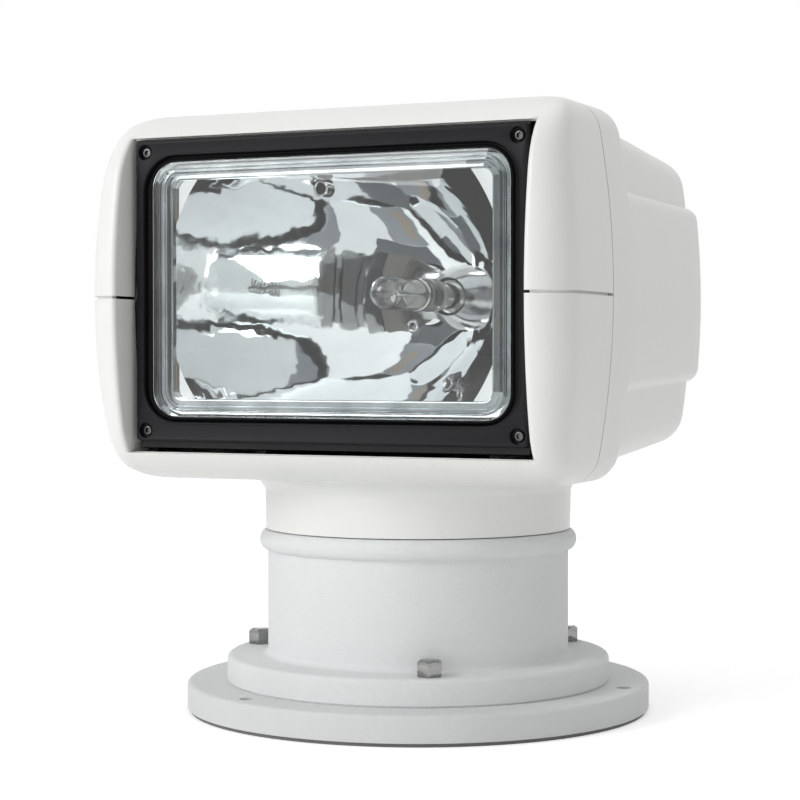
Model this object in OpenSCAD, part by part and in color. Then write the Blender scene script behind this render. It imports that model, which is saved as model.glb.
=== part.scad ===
// Marine searchlight: a head that pans on a round pedestal, with a lamp that tilts inside the head.
// Millimetres. The origin is on the pan axis at the mounting plane, +Z is up, the lamp faces -Y.

/* [Base] */
// Diameter of the base plate
base_d = 250; // [235:1:300]
// Thickness of the base plate
base_t = 13.7; // [11:0.1:20]
// Thickness of the mounting gasket
gasket_t = 2; // [1:0.5:4]
// Width of the gasket ring
gasket_w = 18; // [14:1:20]
// Distance of the mounting holes from the edge of the base plate
mount_inset = 10; // [7:0.5:12]
// Radius of a mounting hole
mount_hole_r = 4; // [3:0.25:5]
// Turn of the first mounting hole from the front
mount_turn = -25; // [-30:1:-20]
// Bore of the cable grommet
cable_d = 16; // [8:1:18]

/* [Pedestal] */
// Thickness of the clamping flange
flange_t = 14.3; // [8:0.1:18]
// Diameter of the column
column_d = 163; // [160:1:168]
// Height of the column above the flange
column_h = 56.4; // [54:0.1:80]
// How far the bead stands out from the column
bead_out = 4.4; // [2:0.1:6]
// Height of the bead
bead_t = 11; // [8:0.1:14]
// Wall of the column
column_wall = 5.5; // [4:0.1:6]
// Thickness of the deck that carries the bearing
deck_t = 8; // [6:0.5:10]
// Distance of the studs from the column
stud_gap = 11.5; // [11:0.5:13]
// Distance of the studs from the edge of the flange
flange_edge = 10.5; // [9:0.5:12]
// Radius of a stud
stud_r = 4; // [3:0.5:4]
// Width of a nut across its flats
nut_flats = 13; // [11:0.5:14]

/* [Head] */
// Width of the head
head_w = 266.6; // [262:0.2:276]
// Height of the head
head_h = 190; // [189:0.2:200]
// Reach of the head in front of the pan axis
head_front = 128.6; // [128:0.2:130]
// Reach of the head behind the pan axis
head_rear = 128.6; // [120:0.2:150]
// Height of the neck
neck_h = 28.6; // [28:0.1:36]
// Wall of the head's shells
shell_wall = 3.5; // [2.5:0.1:4]
// Bulge radius of the barrel sides
side_r = 450; // [350:10:700]
// Radius of the long edges
edge_r = 18; // [12:0.5:22]
// Radius of the crest that runs down the front of each cheek
crest_r = 330; // [280:10:500]
// Radius of the brow above the opening
brow_r = 45; // [42:1:48]
// Radius of the chin below the opening
chin_r = 35; // [32:1:38]
// Radius of a cheek, seen from above
cheek_r = 21.5; // [19:0.5:23]
// Height of the lips above and below the lamp opening
lip_h = 14.15; // [13:0.05:14.5]
// Distance of the rear cover's seam in front of the pan axis
seam_front = 62; // [58:1:66]
// Width of the groove between the front shells
groove_w = 2.2; // [1:0.1:3]
// Depth of the groove between the front shells
groove_depth = 1.5; // [0.5:0.1:2]
// Length of the rear cover's shoulder
shoulder = 32; // [24:1:40]
// Depth of the step behind the shoulder
step = 4.5; // [3:0.1:5]
// Height of the side belt
belt_h = 97; // [80:1:110]
// Rounding of the rear edges
rear_r = 20; // [16:1:26]
// Taper of the sides towards the rear, in mm per mm
side_taper = 0.055; // [0.03:0.005:0.06]
// Taper of the top and bottom towards the rear, in mm per mm
top_taper = 0.06; // [0.03:0.005:0.065]

/* [Lamp] */
// Gap between the bezel and each cheek
bezel_gap_w = 3.3; // [2.5:0.1:5]
// Gap above and below the bezel
bezel_gap_h = 3.85; // [3.5:0.05:5]
// Border of the bezel at each side of the glass
border_w = 8.5; // [8:0.1:11]
// Border of the bezel above and below the glass
border_h = 6; // [5.5:0.1:8]
// Thickness of the bezel
bezel_t = 4; // [3:0.1:5]
// Distance of the bezel's face behind the crest of the cheeks
bezel_back = 15.6; // [13.6:0.2:16.6]
// Height of the lamp's axis above the middle of the head
lamp_raise = 2; // [0:0.1:2.4]
// Distance of the tilt axis behind the bezel's face
pivot_back = 18; // [16:0.5:18.5]
// Thickness of the glass
glass_t = 4; // [3:0.5:5]
// Rim of the glass that the bezel covers
glass_cover = 1.8; // [1:0.1:2.5]
// Focal length of the reflector
focal = 16; // [15:0.25:17]
// Depth of the reflector
reflector_depth = 148; // [142:1:152]
// Radius of the bulb's glass
bulb_r = 7; // [5:0.5:8]
// Length of the bulb's glass
bulb_l = 68; // [50:1:80]
// Length of the stem that carries the bulb's glass
bulb_stem = 36; // [30:1:44]

/* [Drives] */
// Teeth of the pan gear
pan_teeth = 60; // [56:1:61]
// Tooth size of the tilt gears
tilt_module = 2; // [1.9:0.05:2.05]
// Teeth of the full circle that the tilt sector is cut from
tilt_teeth = 120; // [116:2:122]
// Teeth of each pinion
pinion_teeth = 16; // [14:1:17]
// Radius of the motors
motor_r = 17; // [12:0.5:17]
// Length of the motors
motor_l = 40; // [30:1:42]
// Outer radius of the pan shaft
shaft_r = 15; // [12:0.5:16]
// Radius of the trunnion pins
pin_r = 6; // [4:0.5:7]

/* [Hidden] */

$fn = 64;
// Colours
white = "#f0f0ec";
cast_white = "#ebebe6";
black = "#1b1c1e";
charcoal = "#2d2f32";
steel = "#b9bcc0";
chrome = "#dfe2e6";
brass = "#b8964e";
rubber = "#3a3b3c";
// Clearances: pieces fixed together, running fits, seams and pieces that pass each other
fit_gap = 0.02;
run_gap = 0.05;
seam = 0.5;
pass_gap = 0.4;
eps = 0.01;
// Heights of the base and pedestal
base_top = gasket_t + base_t;
flange_top = base_top + flange_t;
column_top = flange_top + column_h;
bead_top = column_top + bead_t;
column_r = column_d / 2;
cavity_r = column_r - column_wall;
stud_circle_r = column_r + stud_gap;
flange_d = 2 * (stud_circle_r + flange_edge);
deck_drop = 7.4;
deck_top = bead_top - deck_drop;
deck_bottom = deck_top - deck_t;
// Base plate details
base_edge_r = 2;
base_recess = 4;
recess_land = 7;
base_recess_r = base_d / 2 - gasket_w - recess_land;
gasket_inset = 1.5;
gasket_r = base_d / 2 - gasket_inset;
gasket_hole_gap = 0.5;
mount_pcd = base_d - 2 * mount_inset;
grommet_wall = 3;
grommet_r = cable_d / 2 + grommet_wall;
grommet_lip = 4;
grommet_lip_t = 3;
mount_angles = [for (i = [0:2]) mount_turn + 120 * i];
stud_angles = [28, 140, -84];
stud_above = 8.4;
nut_h = 8.2;
nut_collar = 1.2;
// Head heights, measured from the mounting plane
neck_bottom = bead_top + seam;
head_bottom = neck_bottom + neck_h;
head_mid = head_bottom + head_h / 2;
neck_over = 1;
neck_r = column_r + neck_over;
neck_wall = 5;
neck_in_r = neck_r - neck_wall;
neck_flare = 0.5;
neck_fillet = 5.5;
neck_rim_r = neck_r + neck_flare + neck_fillet;
floor_t = 5;
floor_rise = 0.5;
floor_top = head_bottom + floor_rise;
register_h = 14;
rim_wall = 4.5;
seam_y = -seam_front;
step_y = seam_y + shoulder;
half_w = head_w / 2;
half_h = head_h / 2;
opening_w = head_w - 2 * cheek_r;
opening_h = head_h - 2 * lip_h;
cheek_return = 20;
groove_drop = 1.5;
groove_z = head_mid - groove_drop;
belt_edge_r = 6;
blend_angle = 15;
blend_run = 90;
crest_y = -head_front;
// Lamp places
lamp_z = head_mid + lamp_raise;
bezel_y = crest_y + bezel_back;
bezel_w = opening_w - 2 * bezel_gap_w;
bezel_h = opening_h - 2 * bezel_gap_h;
glass_w = bezel_w - 2 * border_w;
glass_h = bezel_h - 2 * border_h;
frame_y = bezel_y + bezel_t;
pivot_y = bezel_y + pivot_back;
drum_over = 0.3;
drum_r = sqrt(pow(pivot_back, 2) + pow(bezel_h / 2, 2)) + drum_over;
drum_low_r = drum_r + lamp_raise;
drum_side_gap = 0.5;
drum_w = bezel_w - 2 * drum_side_gap;
drum_wrap = 16;
disc_back = 10;
drum_skin = 3;
side_wall = 4;
seal_t = 2;
rim_t = 2;
reflector_wall = 2;
bowl_room = reflector_wall + 0.5;
reflector_rim = 5;
bowl_w = glass_w - 2 * reflector_rim;
bowl_h = glass_h - 2 * reflector_rim;
bowl_r = 9;
glass_r = 10;
recess_gap = 0.3;
rim_y = frame_y + glass_t + seal_t;
ledge_y = rim_y + rim_t;
ledge_t = 4;
vertex_y = rim_y + reflector_depth;
bulb_hole_gap = 4;
bulb_hole_r = bulb_r + bulb_hole_gap;
boss_wall = 18;
boss_r = bulb_hole_r + boss_wall;
boss_l = 8;
boss_front = 2;
boss_screw_turn = -45;
pad_r = 3.6;
pad_front = 12;
boss_screw_in = 5;
boss_screw_r = boss_r - boss_screw_in;
flange_l = 4;
bulb_flange = 4;
stem_base_r = 9.5;
stem_collar_r = 8.6;
stem_base_l = 18;
retainer_lip = 2.5;
retainer_t = 1.5;
socket_l = 18;
socket_wall = 2;
lead_block = [10, 8, 8];
lead_block_at = 2;
window_w = glass_w - 2 * glass_cover;
window_h = glass_h - 2 * glass_cover;
window_r = 11;
bezel_corner_r = 2.5;
bezel_chamfer = 0.8;
bezel_step = 0.4;
bezel_step_in = 1.5;
ridge_w = 4.4;
ridge_top = 0.8;
slope_foot = 1;
pane_in = 6;
pane_t = 1.6;
pane_r = window_r - 3;
screw_in_x = 5.45;
screw_in_z = 5.6;
screw_x = bezel_w / 2 - screw_in_x;
screw_z = bezel_h / 2 - screw_in_z;
screw_r = 1.5;
screw_head_r = 2.5;
screw_head_t = 1.5;
screw_recess_r = 3.7;
screw_recess = 2.4;
screw_hole_gap = 0.1;
screw_l = 7;
screw_dome_r = 4;
screw_socket_r = 1.45;
screw_socket = 1;
// Gear teeth
pressure_angle = 20;
tooth_up = 0.85;
tooth_down = 1.15;
backlash = 0.35;
// Yoke and tilt drive, along X from the middle of the lamp
disc_x = drum_w / 2;
arm_gap = 3.5;
arm_x = disc_x + arm_gap;
arm_t = 3;
arm_half = 12;
arm_lean = 40;
strap_lead = 8;
strap_front = pivot_y + strap_lead;
strap_seam_gap = 2;
strap_back = seam_y - strap_seam_gap;
bush_wall = 2.5;
bush_r = pin_r + bush_wall;
bush_flange = 2.5;
bush_out = 1.5;
pin_out = 2.5;
pin_in = 6;
yoke_bend = 6;
yoke_bend_rise = 3;
strap_t = 3;
sector_t = 5;
sector_x = disc_x - side_wall - sector_t;
sector_r = tilt_module * tilt_teeth / 2;
sector_half = 20;
sector_foot = pivot_back + 22;
sector_neck = sector_r * 0.75;
sector_window_at = sector_r * 0.8;
sector_window_r = sector_r * 0.1;
tilt_pinion_r = tilt_module * pinion_teeth / 2;
tilt_motor_y = pivot_y + sector_r + tilt_pinion_r;
motor_plate_t = 3;
plate_gap = 2;
motor_plate_x = sector_x - plate_gap - motor_plate_t;
plate_margin = 7;
motor_plate_half = motor_r + plate_margin;
post_r = 4;
post_gap = 6;
post_y = tilt_motor_y + motor_r + post_gap;
post_rise = 1;
post_z = motor_r + post_rise;
post_land = 3;
plate_end = 2;
shaft_in = 10;
// Pan drive
pan_seal_rise = 6;
pan_seal_w = 3.5;
pinion_gap = 2.225;
pan_pinion_reach = 1 + (pinion_teeth + 2 * tooth_up) / (pan_teeth + pinion_teeth);
pan_motor_y = (cavity_r - pan_seal_w - pinion_gap) / pan_pinion_reach;
pan_module = 2 * pan_motor_y / (pan_teeth + pinion_teeth);
drive_shaft_r = 3;
gear_t = 8;
hub_wall = 9;
hub_r = shaft_r + hub_wall;
hub_drop = 12;
hub_rise = 6;
pan_bush_r = shaft_r + bush_wall;
pan_bush_flange = 2;
gear_bottom = deck_top + hub_rise + pan_bush_flange + pass_gap;
shaft_flange_w = 15;
shaft_flange_r = shaft_r + shaft_flange_w;
shaft_flange_t = 5;
shaft_wall = 5;
shaft_bore_r = shaft_r - shaft_wall;
floor_bottom = floor_top - floor_t;
shaft_lift = 26;
shaft_bottom = base_top + shaft_lift;
collar_t = 3;
collar_w = 4;
collar_top = deck_bottom - hub_drop - pass_gap;
ring_lift = 2;
ring_bottom = shaft_bottom + ring_lift;
ring_wall = 5;
ring_r = shaft_r + ring_wall;
ring_groove = 2;
ring_count = 3;
ring_pitch = 6;
ring_t = 3;
ring_h = ring_pitch * ring_count;
flange_screw_r = 2;
flange_screw_out = 8;
flange_screw_circle = shaft_r + flange_screw_out;
flange_screw_head = [1.6, 2.5];
bush_rim = 1;
gear_end = 2;
shaft_hole_gap = 2;
// Motor details: its end cap, its rear band, its terminals and its fixing holes
motor_step = 1;
motor_cap_l = 8;
motor_band_l = 5;
motor_band_at = 3;
terminal_r = 1.5;
terminal_l = 5;
terminal_at = 0.5;
motor_bore = 12;
motor_screw_at = 0.6;
motor_screw_in = 6;
motor_screw_bite = 5;
// Brush holder: its foot, post and block, and the brushes
holder_gap = 8;
holder_back = 12;
holder_foot = [20, 24, 4];
holder_foot_back = 16;
holder_post = [8, 12];
holder_block = [14, 16];
brush = [5.7, 5, 2];
brush_gap = 0.3;
// Control board: its plate, spacers and larger parts
board_y = 38;
board = [80, 44, 1.6];
spacer_h = 8;
spacer_r = 3;
spacer_in = 4;
capacitor_r = 5;
capacitor_h = 10;
capacitor_at = [[-26, 8], [-12, 8]];
relay = [18, 14, 9];
relay_at = [4, -2];
plug = [24, 8, 7];
plug_at = [-30, -18];
driver = [20, 8, 4];
driver_at = [10, -18];

// Shapes shared by the pieces

function arc(cx, cy, r, a0, a1, n) =
  [for (i = [0:n]) let (a = a0 + (a1 - a0) * i / n) [cx + r * cos(a), cy + r * sin(a)]];

function flip_x(p) = [for (i = [len(p) - 1:-1:0]) [-p[i][0], p[i][1]]];

function flip_z(p) = [for (i = [len(p) - 1:-1:0]) [p[i][0], -p[i][1]]];

// A quarter of the head's outline: the barrel side, then the rounded edge, up to the flat top
function quarter(w, h, r_edge, r_side) =
  let (r = min(r_edge, h * 0.9))
  let (xs = w - r_side)
  let (xr = xs + sqrt(pow(r_side - r, 2) - pow(h - r, 2)))
  let (a = atan2(h - r, xr - xs))
  concat(arc(xs, 0, r_side, a / 5, a, 4), arc(xr, h - r, r, a + (90 - a) / 6, 90, 5));

function head_outline(w, up, down, r) =
  let (top = quarter(w, up, r, side_r))
  let (low = quarter(w, down, r, side_r))
  concat([[w, 0]], top, flip_x(top), [[-w, 0]], flip_x(flip_z(low)), flip_z(low));

// Half of the front seen from above: the cheek's arc, then on along its end
function front_plan(inset) =
  let (r = cheek_r - inset)
  let (round = arc(half_w - cheek_r, crest_y + cheek_r, r, 270, 360 - blend_angle, 6))
  concat(round, [round[6] + blend_run * [sin(blend_angle), cos(blend_angle)]]);

// Angle at the crest's centre where the long crest arc meets the brow or chin of radius r
function crest_angle(h, r, ra) = asin((h - r) / (ra - r));

// The brow or chin, from the flat top or bottom to the crest arc
function brow_arc(r, inset) =
  let (h = half_h - inset)
  let (rr = r - inset)
  let (ra = crest_r - inset)
  let (a = crest_angle(h, rr, ra))
  let (round = arc(crest_y + crest_r - (ra - rr) * cos(a), h - rr, rr, 90 + blend_angle, 180 - a, 6))
  concat([round[0] + blend_run * [cos(blend_angle), sin(blend_angle)]], round);

// The front seen from the side: brow, crest and chin
function front_side(inset) =
  let (ra = crest_r - inset)
  let (top = crest_angle(half_h - inset, brow_r - inset, ra))
  let (low = crest_angle(half_h - inset, chin_r - inset, ra))
  concat(brow_arc(brow_r, inset), arc(crest_y + crest_r, 0, ra, 182 - top, 178 + low, 7),
         flip_z(brow_arc(chin_r, inset)));

// A ring of the head's outline at one distance from the front
function head_ring(y, w, up, down, r) = [for (p = head_outline(w, up, down, r)) [p[0], y, head_mid + p[1]]];

// A closed solid through rings that run from front to back
module loft(rings) {
  n = len(rings[0]);
  last = len(rings) - 1;
  sides = [for (i = [0:last - 1], j = [0:n - 1])
    let (a = i * n + j)
    let (b = i * n + (j + 1) % n)
    each [[a, b, b + n], [a, b + n, a + n]]];
  front_cap = [for (j = [n - 1:-1:0]) j];
  back_cap = [for (j = [0:n - 1]) last * n + j];
  polyhedron([for (ring = rings) each ring], concat([front_cap, back_cap], sides));
}

// The closed form of the head's front, with its back at y_end: where its three outlines overlap
module front_form(inset, y_end)
  intersection() {
    translate([0, 0, head_bottom - 1])
      linear_extrude(head_h + 2)
        polygon(concat(front_plan(inset), flip_x(front_plan(inset))));
    translate([-half_w - 1, 0, head_mid])
      rotate([90, 0, 90])
        linear_extrude(head_w + 2)
          polygon(front_side(inset));
    translate([0, y_end, head_mid])
      rotate([90, 0, 0])
        linear_extrude(head_front + 2)
          polygon(head_outline(half_w - inset, half_h - inset, half_h - inset, edge_r - inset));
  }

function rear_round(y, inset) =
  let (r = rear_r - inset)
  let (yc = head_rear - rear_r)
  y <= yc ? 0 : r - sqrt(max(0, pow(r, 2) - pow(y - yc, 2)));

// A tapered form from y_start to the rear, with its rear edges rounded
module rear_form(y_start, side_in, up, inset, r, taper) {
  steps = 6;
  round_y = head_rear - rear_r;
  places = concat([y_start], [for (i = [0:steps]) round_y + (rear_r - inset) * sin(88 * i / steps)]);
  loft([for (y = places)
    let (back = inset + rear_round(y, inset))
    let (h = up - taper * (y - step_y) - back)
    head_ring(y, half_w - side_taper * (y - step_y) - side_in - back, h, h, r - inset)]);
}

// Half spaces that cut the head
module below(z)
  translate([-head_w, -head_w, z - 2 * head_h])
    cube([2 * head_w, 2 * head_w, 2 * head_h]);

module above(z)
  translate([-head_w, -head_w, z])
    cube([2 * head_w, 2 * head_w, 2 * head_h]);

module rounded_rect(w, h, r) {
  square([w - 2 * r, h], center = true);
  square([w, h - 2 * r], center = true);
  for (x = [-1, 1], y = [-1, 1])
    translate([x * (w / 2 - r), y * (h / 2 - r)])
      circle(r);
}

// Places: round the pan axis from the front, on the lamp's axis, and on the tilt axis
module round_front(r, angle)
  translate([r * sin(angle), -r * cos(angle), 0])
    children();

module lamp_axis(y)
  translate([0, y, lamp_z])
    rotate([90, 0, 0])
      children();

module tilt_axis(x)
  translate([x, pivot_y, lamp_z])
    rotate([90, 0, 90])
      children();

module ring(z0, z1, r_out, r_in)
  translate([0, 0, z0])
    difference() {
      cylinder(h = z1 - z0, r = r_out);
      translate([0, 0, -1])
        cylinder(h = z1 - z0 + 2, r = r_in);
    }

function unwind(base_r, r) =
  let (t = sqrt(max(0, pow(r / base_r, 2) - 1)))
  t * 180 / PI - atan(t);

// Half the angle that a tooth takes up at radius r
function tooth_half(r, m, n) =
  let (pitch_r = m * n / 2)
  let (base_r = pitch_r * cos(pressure_angle))
  90 / n - backlash / 4 / pitch_r * 180 / PI + unwind(base_r, pitch_r) - unwind(base_r, max(r, base_r));

function tooth(m, n, middle) =
  let (pitch_r = m * n / 2)
  let (radii = [for (out = [-tooth_down, -tooth_down / 3, 0, tooth_up / 2, tooth_up]) pitch_r + out * m])
  concat(
    [for (r = radii) let (a = middle - tooth_half(r, m, n)) [r * cos(a), r * sin(a)]],
    [for (i = [len(radii) - 1:-1:0])
      let (r = radii[i])
      let (a = middle + tooth_half(r, m, n))
      [r * cos(a), r * sin(a)]]);

function gear_outline(m, n, turn) = [for (i = [0:n - 1]) each tooth(m, n, turn + 360 * i / n)];

// Base and pedestal

module mounting_gasket()
  color(rubber)
    difference() {
      ring(0, gasket_t, gasket_r, gasket_r - gasket_w);
      for (a = mount_angles)
        round_front(mount_pcd / 2, a)
          translate([0, 0, -1])
            cylinder(h = gasket_t + 2, r = mount_hole_r + gasket_hole_gap);
    }

module base_plate()
  color(cast_white)
    difference() {
      rotate_extrude($fn = 128)
        polygon(concat(
          [[grommet_r + fit_gap, gasket_t + base_recess], [base_recess_r, gasket_t + base_recess],
           [base_recess_r, gasket_t], [base_d / 2, gasket_t]],
          arc(base_d / 2 - base_edge_r, base_top - base_edge_r, base_edge_r, 0, 90, 4),
          [[grommet_r + fit_gap, base_top]]));
      for (a = mount_angles)
        round_front(mount_pcd / 2, a)
          cylinder(h = base_top + 1, r = mount_hole_r);
      for (a = stud_angles)
        round_front(stud_circle_r, a)
          cylinder(h = base_top + 1, r = stud_r + fit_gap);
    }

module cable_grommet()
  color(rubber)
    rotate_extrude()
      polygon([
        [cable_d / 2, gasket_t + base_recess - grommet_lip_t],
        [grommet_r + grommet_lip, gasket_t + base_recess - grommet_lip_t],
        [grommet_r + grommet_lip, gasket_t + base_recess],
        [grommet_r, gasket_t + base_recess],
        [grommet_r, base_top],
        [grommet_r + grommet_lip, base_top],
        [grommet_r + grommet_lip / 2, base_top + grommet_lip_t],
        [cable_d / 2, base_top + grommet_lip_t]]);

// The column is one casting: clamping flange, tube, half-round bead, and the deck with the bearing hub
module pedestal()
  color(cast_white)
    difference() {
      rotate_extrude($fn = 128)
        polygon(concat(
          [[cavity_r, base_top]],
          [[flange_d / 2 - 1, base_top], [flange_d / 2, base_top + 1]],
          arc(flange_d / 2 - 2.5, flange_top - 2.5, 2.5, 0, 90, 4),
          [[column_r + 3, flange_top]],
          arc(column_r + 3, flange_top + 3, 3, 270, 180, 3),
          [[column_r, column_top]],
          [for (a = [-90:15:90]) [column_r + bead_out * cos(a), column_top + bead_t / 2 * (1 + sin(a))]],
          [[cavity_r, bead_top], [cavity_r, deck_top], [hub_r, deck_top], [hub_r, deck_top + hub_rise],
           [pan_bush_r + fit_gap, deck_top + hub_rise], [pan_bush_r + fit_gap, deck_bottom - hub_drop],
           [hub_r, deck_bottom - hub_drop], [hub_r, deck_bottom], [cavity_r, deck_bottom]]));
      for (a = stud_angles)
        round_front(stud_circle_r, a)
          translate([0, 0, base_top - 1])
            cylinder(h = flange_t + 2, r = stud_r + fit_gap);
      translate([0, pan_motor_y, deck_bottom - 1]) {
        cylinder(h = deck_t + 2, r = drive_shaft_r + shaft_hole_gap);
        for (s = [-1, 1])
          translate([s * motor_r * motor_screw_at, 0, 0])
            cylinder(h = deck_t + 2, r = screw_r + fit_gap);
      }
    }

module pedestal_studs()
  color(steel)
    for (a = stud_angles)
      round_front(stud_circle_r, a)
        translate([0, 0, gasket_t + base_recess + 1]) {
          cylinder(h = flange_top + stud_above - gasket_t - base_recess - 2, r = stud_r);
          translate([0, 0, flange_top + stud_above - gasket_t - base_recess - 2])
            cylinder(h = 1, r1 = stud_r, r2 = stud_r - 1);
        }

module pedestal_nuts()
  color(steel)
    for (a = stud_angles)
      round_front(stud_circle_r, a)
        translate([0, 0, flange_top])
          rotate(a)
            difference() {
              union() {
                intersection() {
                  cylinder(h = nut_h - nut_collar, d = nut_flats / cos(30), $fn = 6);
                  translate([0, 0, nut_h - nut_collar - nut_flats])
                    cylinder(h = nut_flats, r1 = nut_flats * 1.5, r2 = nut_flats * 0.5);
                }
                cylinder(h = nut_h, r = nut_flats / 2 - 1.2);
              }
              translate([0, 0, -1])
                cylinder(h = nut_h + 2, r = stud_r + fit_gap);
            }

module pan_bush()
  color(brass)
    rotate_extrude()
      polygon([
        [shaft_r + run_gap, deck_bottom - hub_drop], [pan_bush_r, deck_bottom - hub_drop],
        [pan_bush_r, deck_top + hub_rise], [hub_r - bush_rim, deck_top + hub_rise],
        [hub_r - bush_rim, deck_top + hub_rise + pan_bush_flange],
        [shaft_r + run_gap, deck_top + hub_rise + pan_bush_flange]]);

// Raised ring inside the pan seam, which keeps spray out of the column
module pan_seal()
  color(rubber)
    ring(deck_top, bead_top + pan_seal_rise, cavity_r - fit_gap, cavity_r - pan_seal_w);

// A round motor that stands on its mounting face, with its output end up
module motor_form()
  difference() {
    union() {
      translate([0, 0, -motor_l])
        cylinder(h = motor_l, r = motor_r - motor_step);
      translate([0, 0, -motor_cap_l])
        cylinder(h = motor_cap_l, r = motor_r);
      translate([0, 0, motor_band_at - motor_l])
        cylinder(h = motor_band_l, r = motor_r);
      for (s = [-1, 1])
        translate([s * motor_r * terminal_at, 0, -motor_l - terminal_l])
          cylinder(h = terminal_l + 1, r = terminal_r);
    }
    translate([0, 0, -motor_bore])
      cylinder(h = motor_bore + 1, r = drive_shaft_r + run_gap);
    for (s = [-1, 1])
      translate([s * motor_r * motor_screw_at, 0, -motor_screw_in])
        cylinder(h = motor_screw_in + 1, r = screw_r + fit_gap);
  }

module pan_motor()
  color(steel)
    translate([0, pan_motor_y, deck_bottom])
      motor_form();

module pan_motor_screws()
  color(steel)
    for (s = [-1, 1])
      translate([s * motor_r * motor_screw_at, pan_motor_y, deck_bottom - motor_screw_bite]) {
        cylinder(h = deck_t + motor_screw_bite, r = screw_r);
        translate([0, 0, deck_t + motor_screw_bite])
          cylinder(h = screw_head_t, r = screw_head_r);
      }

// Brush holder on a foot that stands on the base plate
module brush_block()
  color(charcoal)
    translate([-ring_r - holder_gap, 0, 0]) {
      translate([-holder_foot_back, -holder_foot[1] / 2, base_top])
        cube(holder_foot);
      translate([-holder_back, -holder_post[1] / 2, base_top])
        cube([holder_post[0], holder_post[1], ring_bottom + ring_h - base_top]);
      translate([-holder_back, -holder_block[1] / 2, ring_bottom])
        cube([holder_block[0], holder_block[1], ring_h]);
    }

module brushes()
  color(brass)
    for (i = [0:ring_count - 1])
      translate([-ring_r - brush_gap - brush[0], 0, ring_bottom + ring_pitch * (i + 0.5)])
        translate([0, -brush[1] / 2, -brush[2] / 2])
          cube(brush);

module pan_pinion()
  color(brass)
    translate([0, pan_motor_y, 0]) {
      translate([0, 0, gear_bottom])
        linear_extrude(gear_t)
          polygon(gear_outline(pan_module, pinion_teeth, -90 + 180 / pinion_teeth));
      translate([0, 0, deck_bottom - shaft_in])
        cylinder(h = gear_bottom + gear_t + gear_end - deck_bottom + shaft_in, r = drive_shaft_r);
    }

// Head

// The front of the head, hollow, with a lamp opening whose cheeks turn inwards
module front_shell() {
  difference() {
    children();
    difference() {
      front_form(shell_wall, seam_y + 1);
      for (s = [0, 1])
        mirror([s, 0, 0])
          translate([opening_w / 2 - 1, crest_y - 1, head_bottom - 1])
            cube([shell_wall + 1, cheek_return + 1, head_h + 2]);
    }
    translate([-opening_w / 2, crest_y - 2, head_mid - opening_h / 2])
      cube([opening_w, head_front, opening_h]);
  }
}

module lower_front_shell()
  color(white)
    difference() {
      front_shell()
        union() {
          intersection() {
            front_form(0, seam_y - seam / 2);
            below(groove_z - groove_w / 2);
          }
          intersection() {
            front_form(groove_depth, seam_y - seam / 2);
            below(groove_z + groove_w / 2);
          }
        }
      translate([0, 0, head_bottom - 1])
        cylinder(h = shell_wall + 2, r = neck_rim_r + pass_gap, $fn = 96);
    }

module upper_front_shell()
  color(white)
    front_shell()
      intersection() {
        front_form(0, seam_y - seam / 2);
        above(groove_z + groove_w / 2);
      }

// One casting: the neck above the pan seam, the head's floor, and the rim that the shells close round
module turntable()
  color(white)
    difference() {
      union() {
        rotate_extrude($fn = 128)
          polygon(concat(
            [[0, floor_bottom], [neck_in_r, floor_bottom], [neck_in_r, neck_bottom], [neck_r, neck_bottom],
             [neck_r + neck_flare, head_bottom - neck_fillet]],
            arc(neck_rim_r, head_bottom - neck_fillet, neck_fillet, 180, 90, 5),
            [[neck_rim_r, head_bottom + shell_wall], [neck_rim_r - rim_wall, head_bottom + shell_wall],
             [neck_rim_r - rim_wall, floor_top], [0, floor_top]]));
        intersection() {
          ring(head_bottom + shell_wall - 1, head_bottom + register_h, neck_rim_r, neck_rim_r - rim_wall);
          translate([-head_w, seam_y + 8, 0])
            cube([2 * head_w, head_w, 2 * head_h]);
        }
      }
      translate([0, 0, floor_bottom - 1])
        cylinder(h = floor_t + 2, r = shaft_bore_r);
      for (a = [45:90:315])
        round_front(flange_screw_circle, a)
          translate([0, 0, floor_bottom - 1])
            cylinder(h = floor_t + 2, r = flange_screw_r + fit_gap);
    }

// One moulding: a shoulder that continues the front, a stepped tapering box, and a belt along its sides
module rear_cover()
  color(white)
    difference() {
      union() {
        translate([0, step_y, head_mid])
          rotate([90, 0, 0])
            linear_extrude(shoulder - seam / 2)
              polygon(head_outline(half_w, half_h, half_h, edge_r));
        rear_form(step_y - 1, step, half_h - step, 0, edge_r, top_taper);
        rear_form(step_y - 1, 0, belt_h / 2, 0, belt_edge_r, 0);
      }
      rear_form(seam_y - 1, step, half_h - step, shell_wall, edge_r, top_taper);
      translate([0, 0, head_bottom - 1])
        cylinder(h = head_h / 3, r = neck_rim_r + pass_gap);
    }

module pan_shaft()
  color(steel)
    difference() {
      rotate_extrude()
        polygon([
          [shaft_bore_r, shaft_bottom], [shaft_r, shaft_bottom], [shaft_r, floor_bottom - shaft_flange_t],
          [shaft_flange_r, floor_bottom - shaft_flange_t], [shaft_flange_r, floor_bottom],
          [shaft_bore_r, floor_bottom]]);
      for (a = [45:90:315])
        round_front(flange_screw_circle, a)
          translate([0, 0, floor_bottom - shaft_flange_t - 1])
            cylinder(h = shaft_flange_t + 2, r = flange_screw_r + fit_gap);
    }

module flange_screws()
  color(steel)
    for (a = [45:90:315])
      round_front(flange_screw_circle, a)
        translate([0, 0, floor_bottom - shaft_flange_t]) {
          cylinder(h = floor_t + shaft_flange_t, r = flange_screw_r);
          translate([0, 0, floor_t + shaft_flange_t])
            cylinder(h = flange_screw_head[1], r = flange_screw_r + flange_screw_head[0]);
        }

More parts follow.
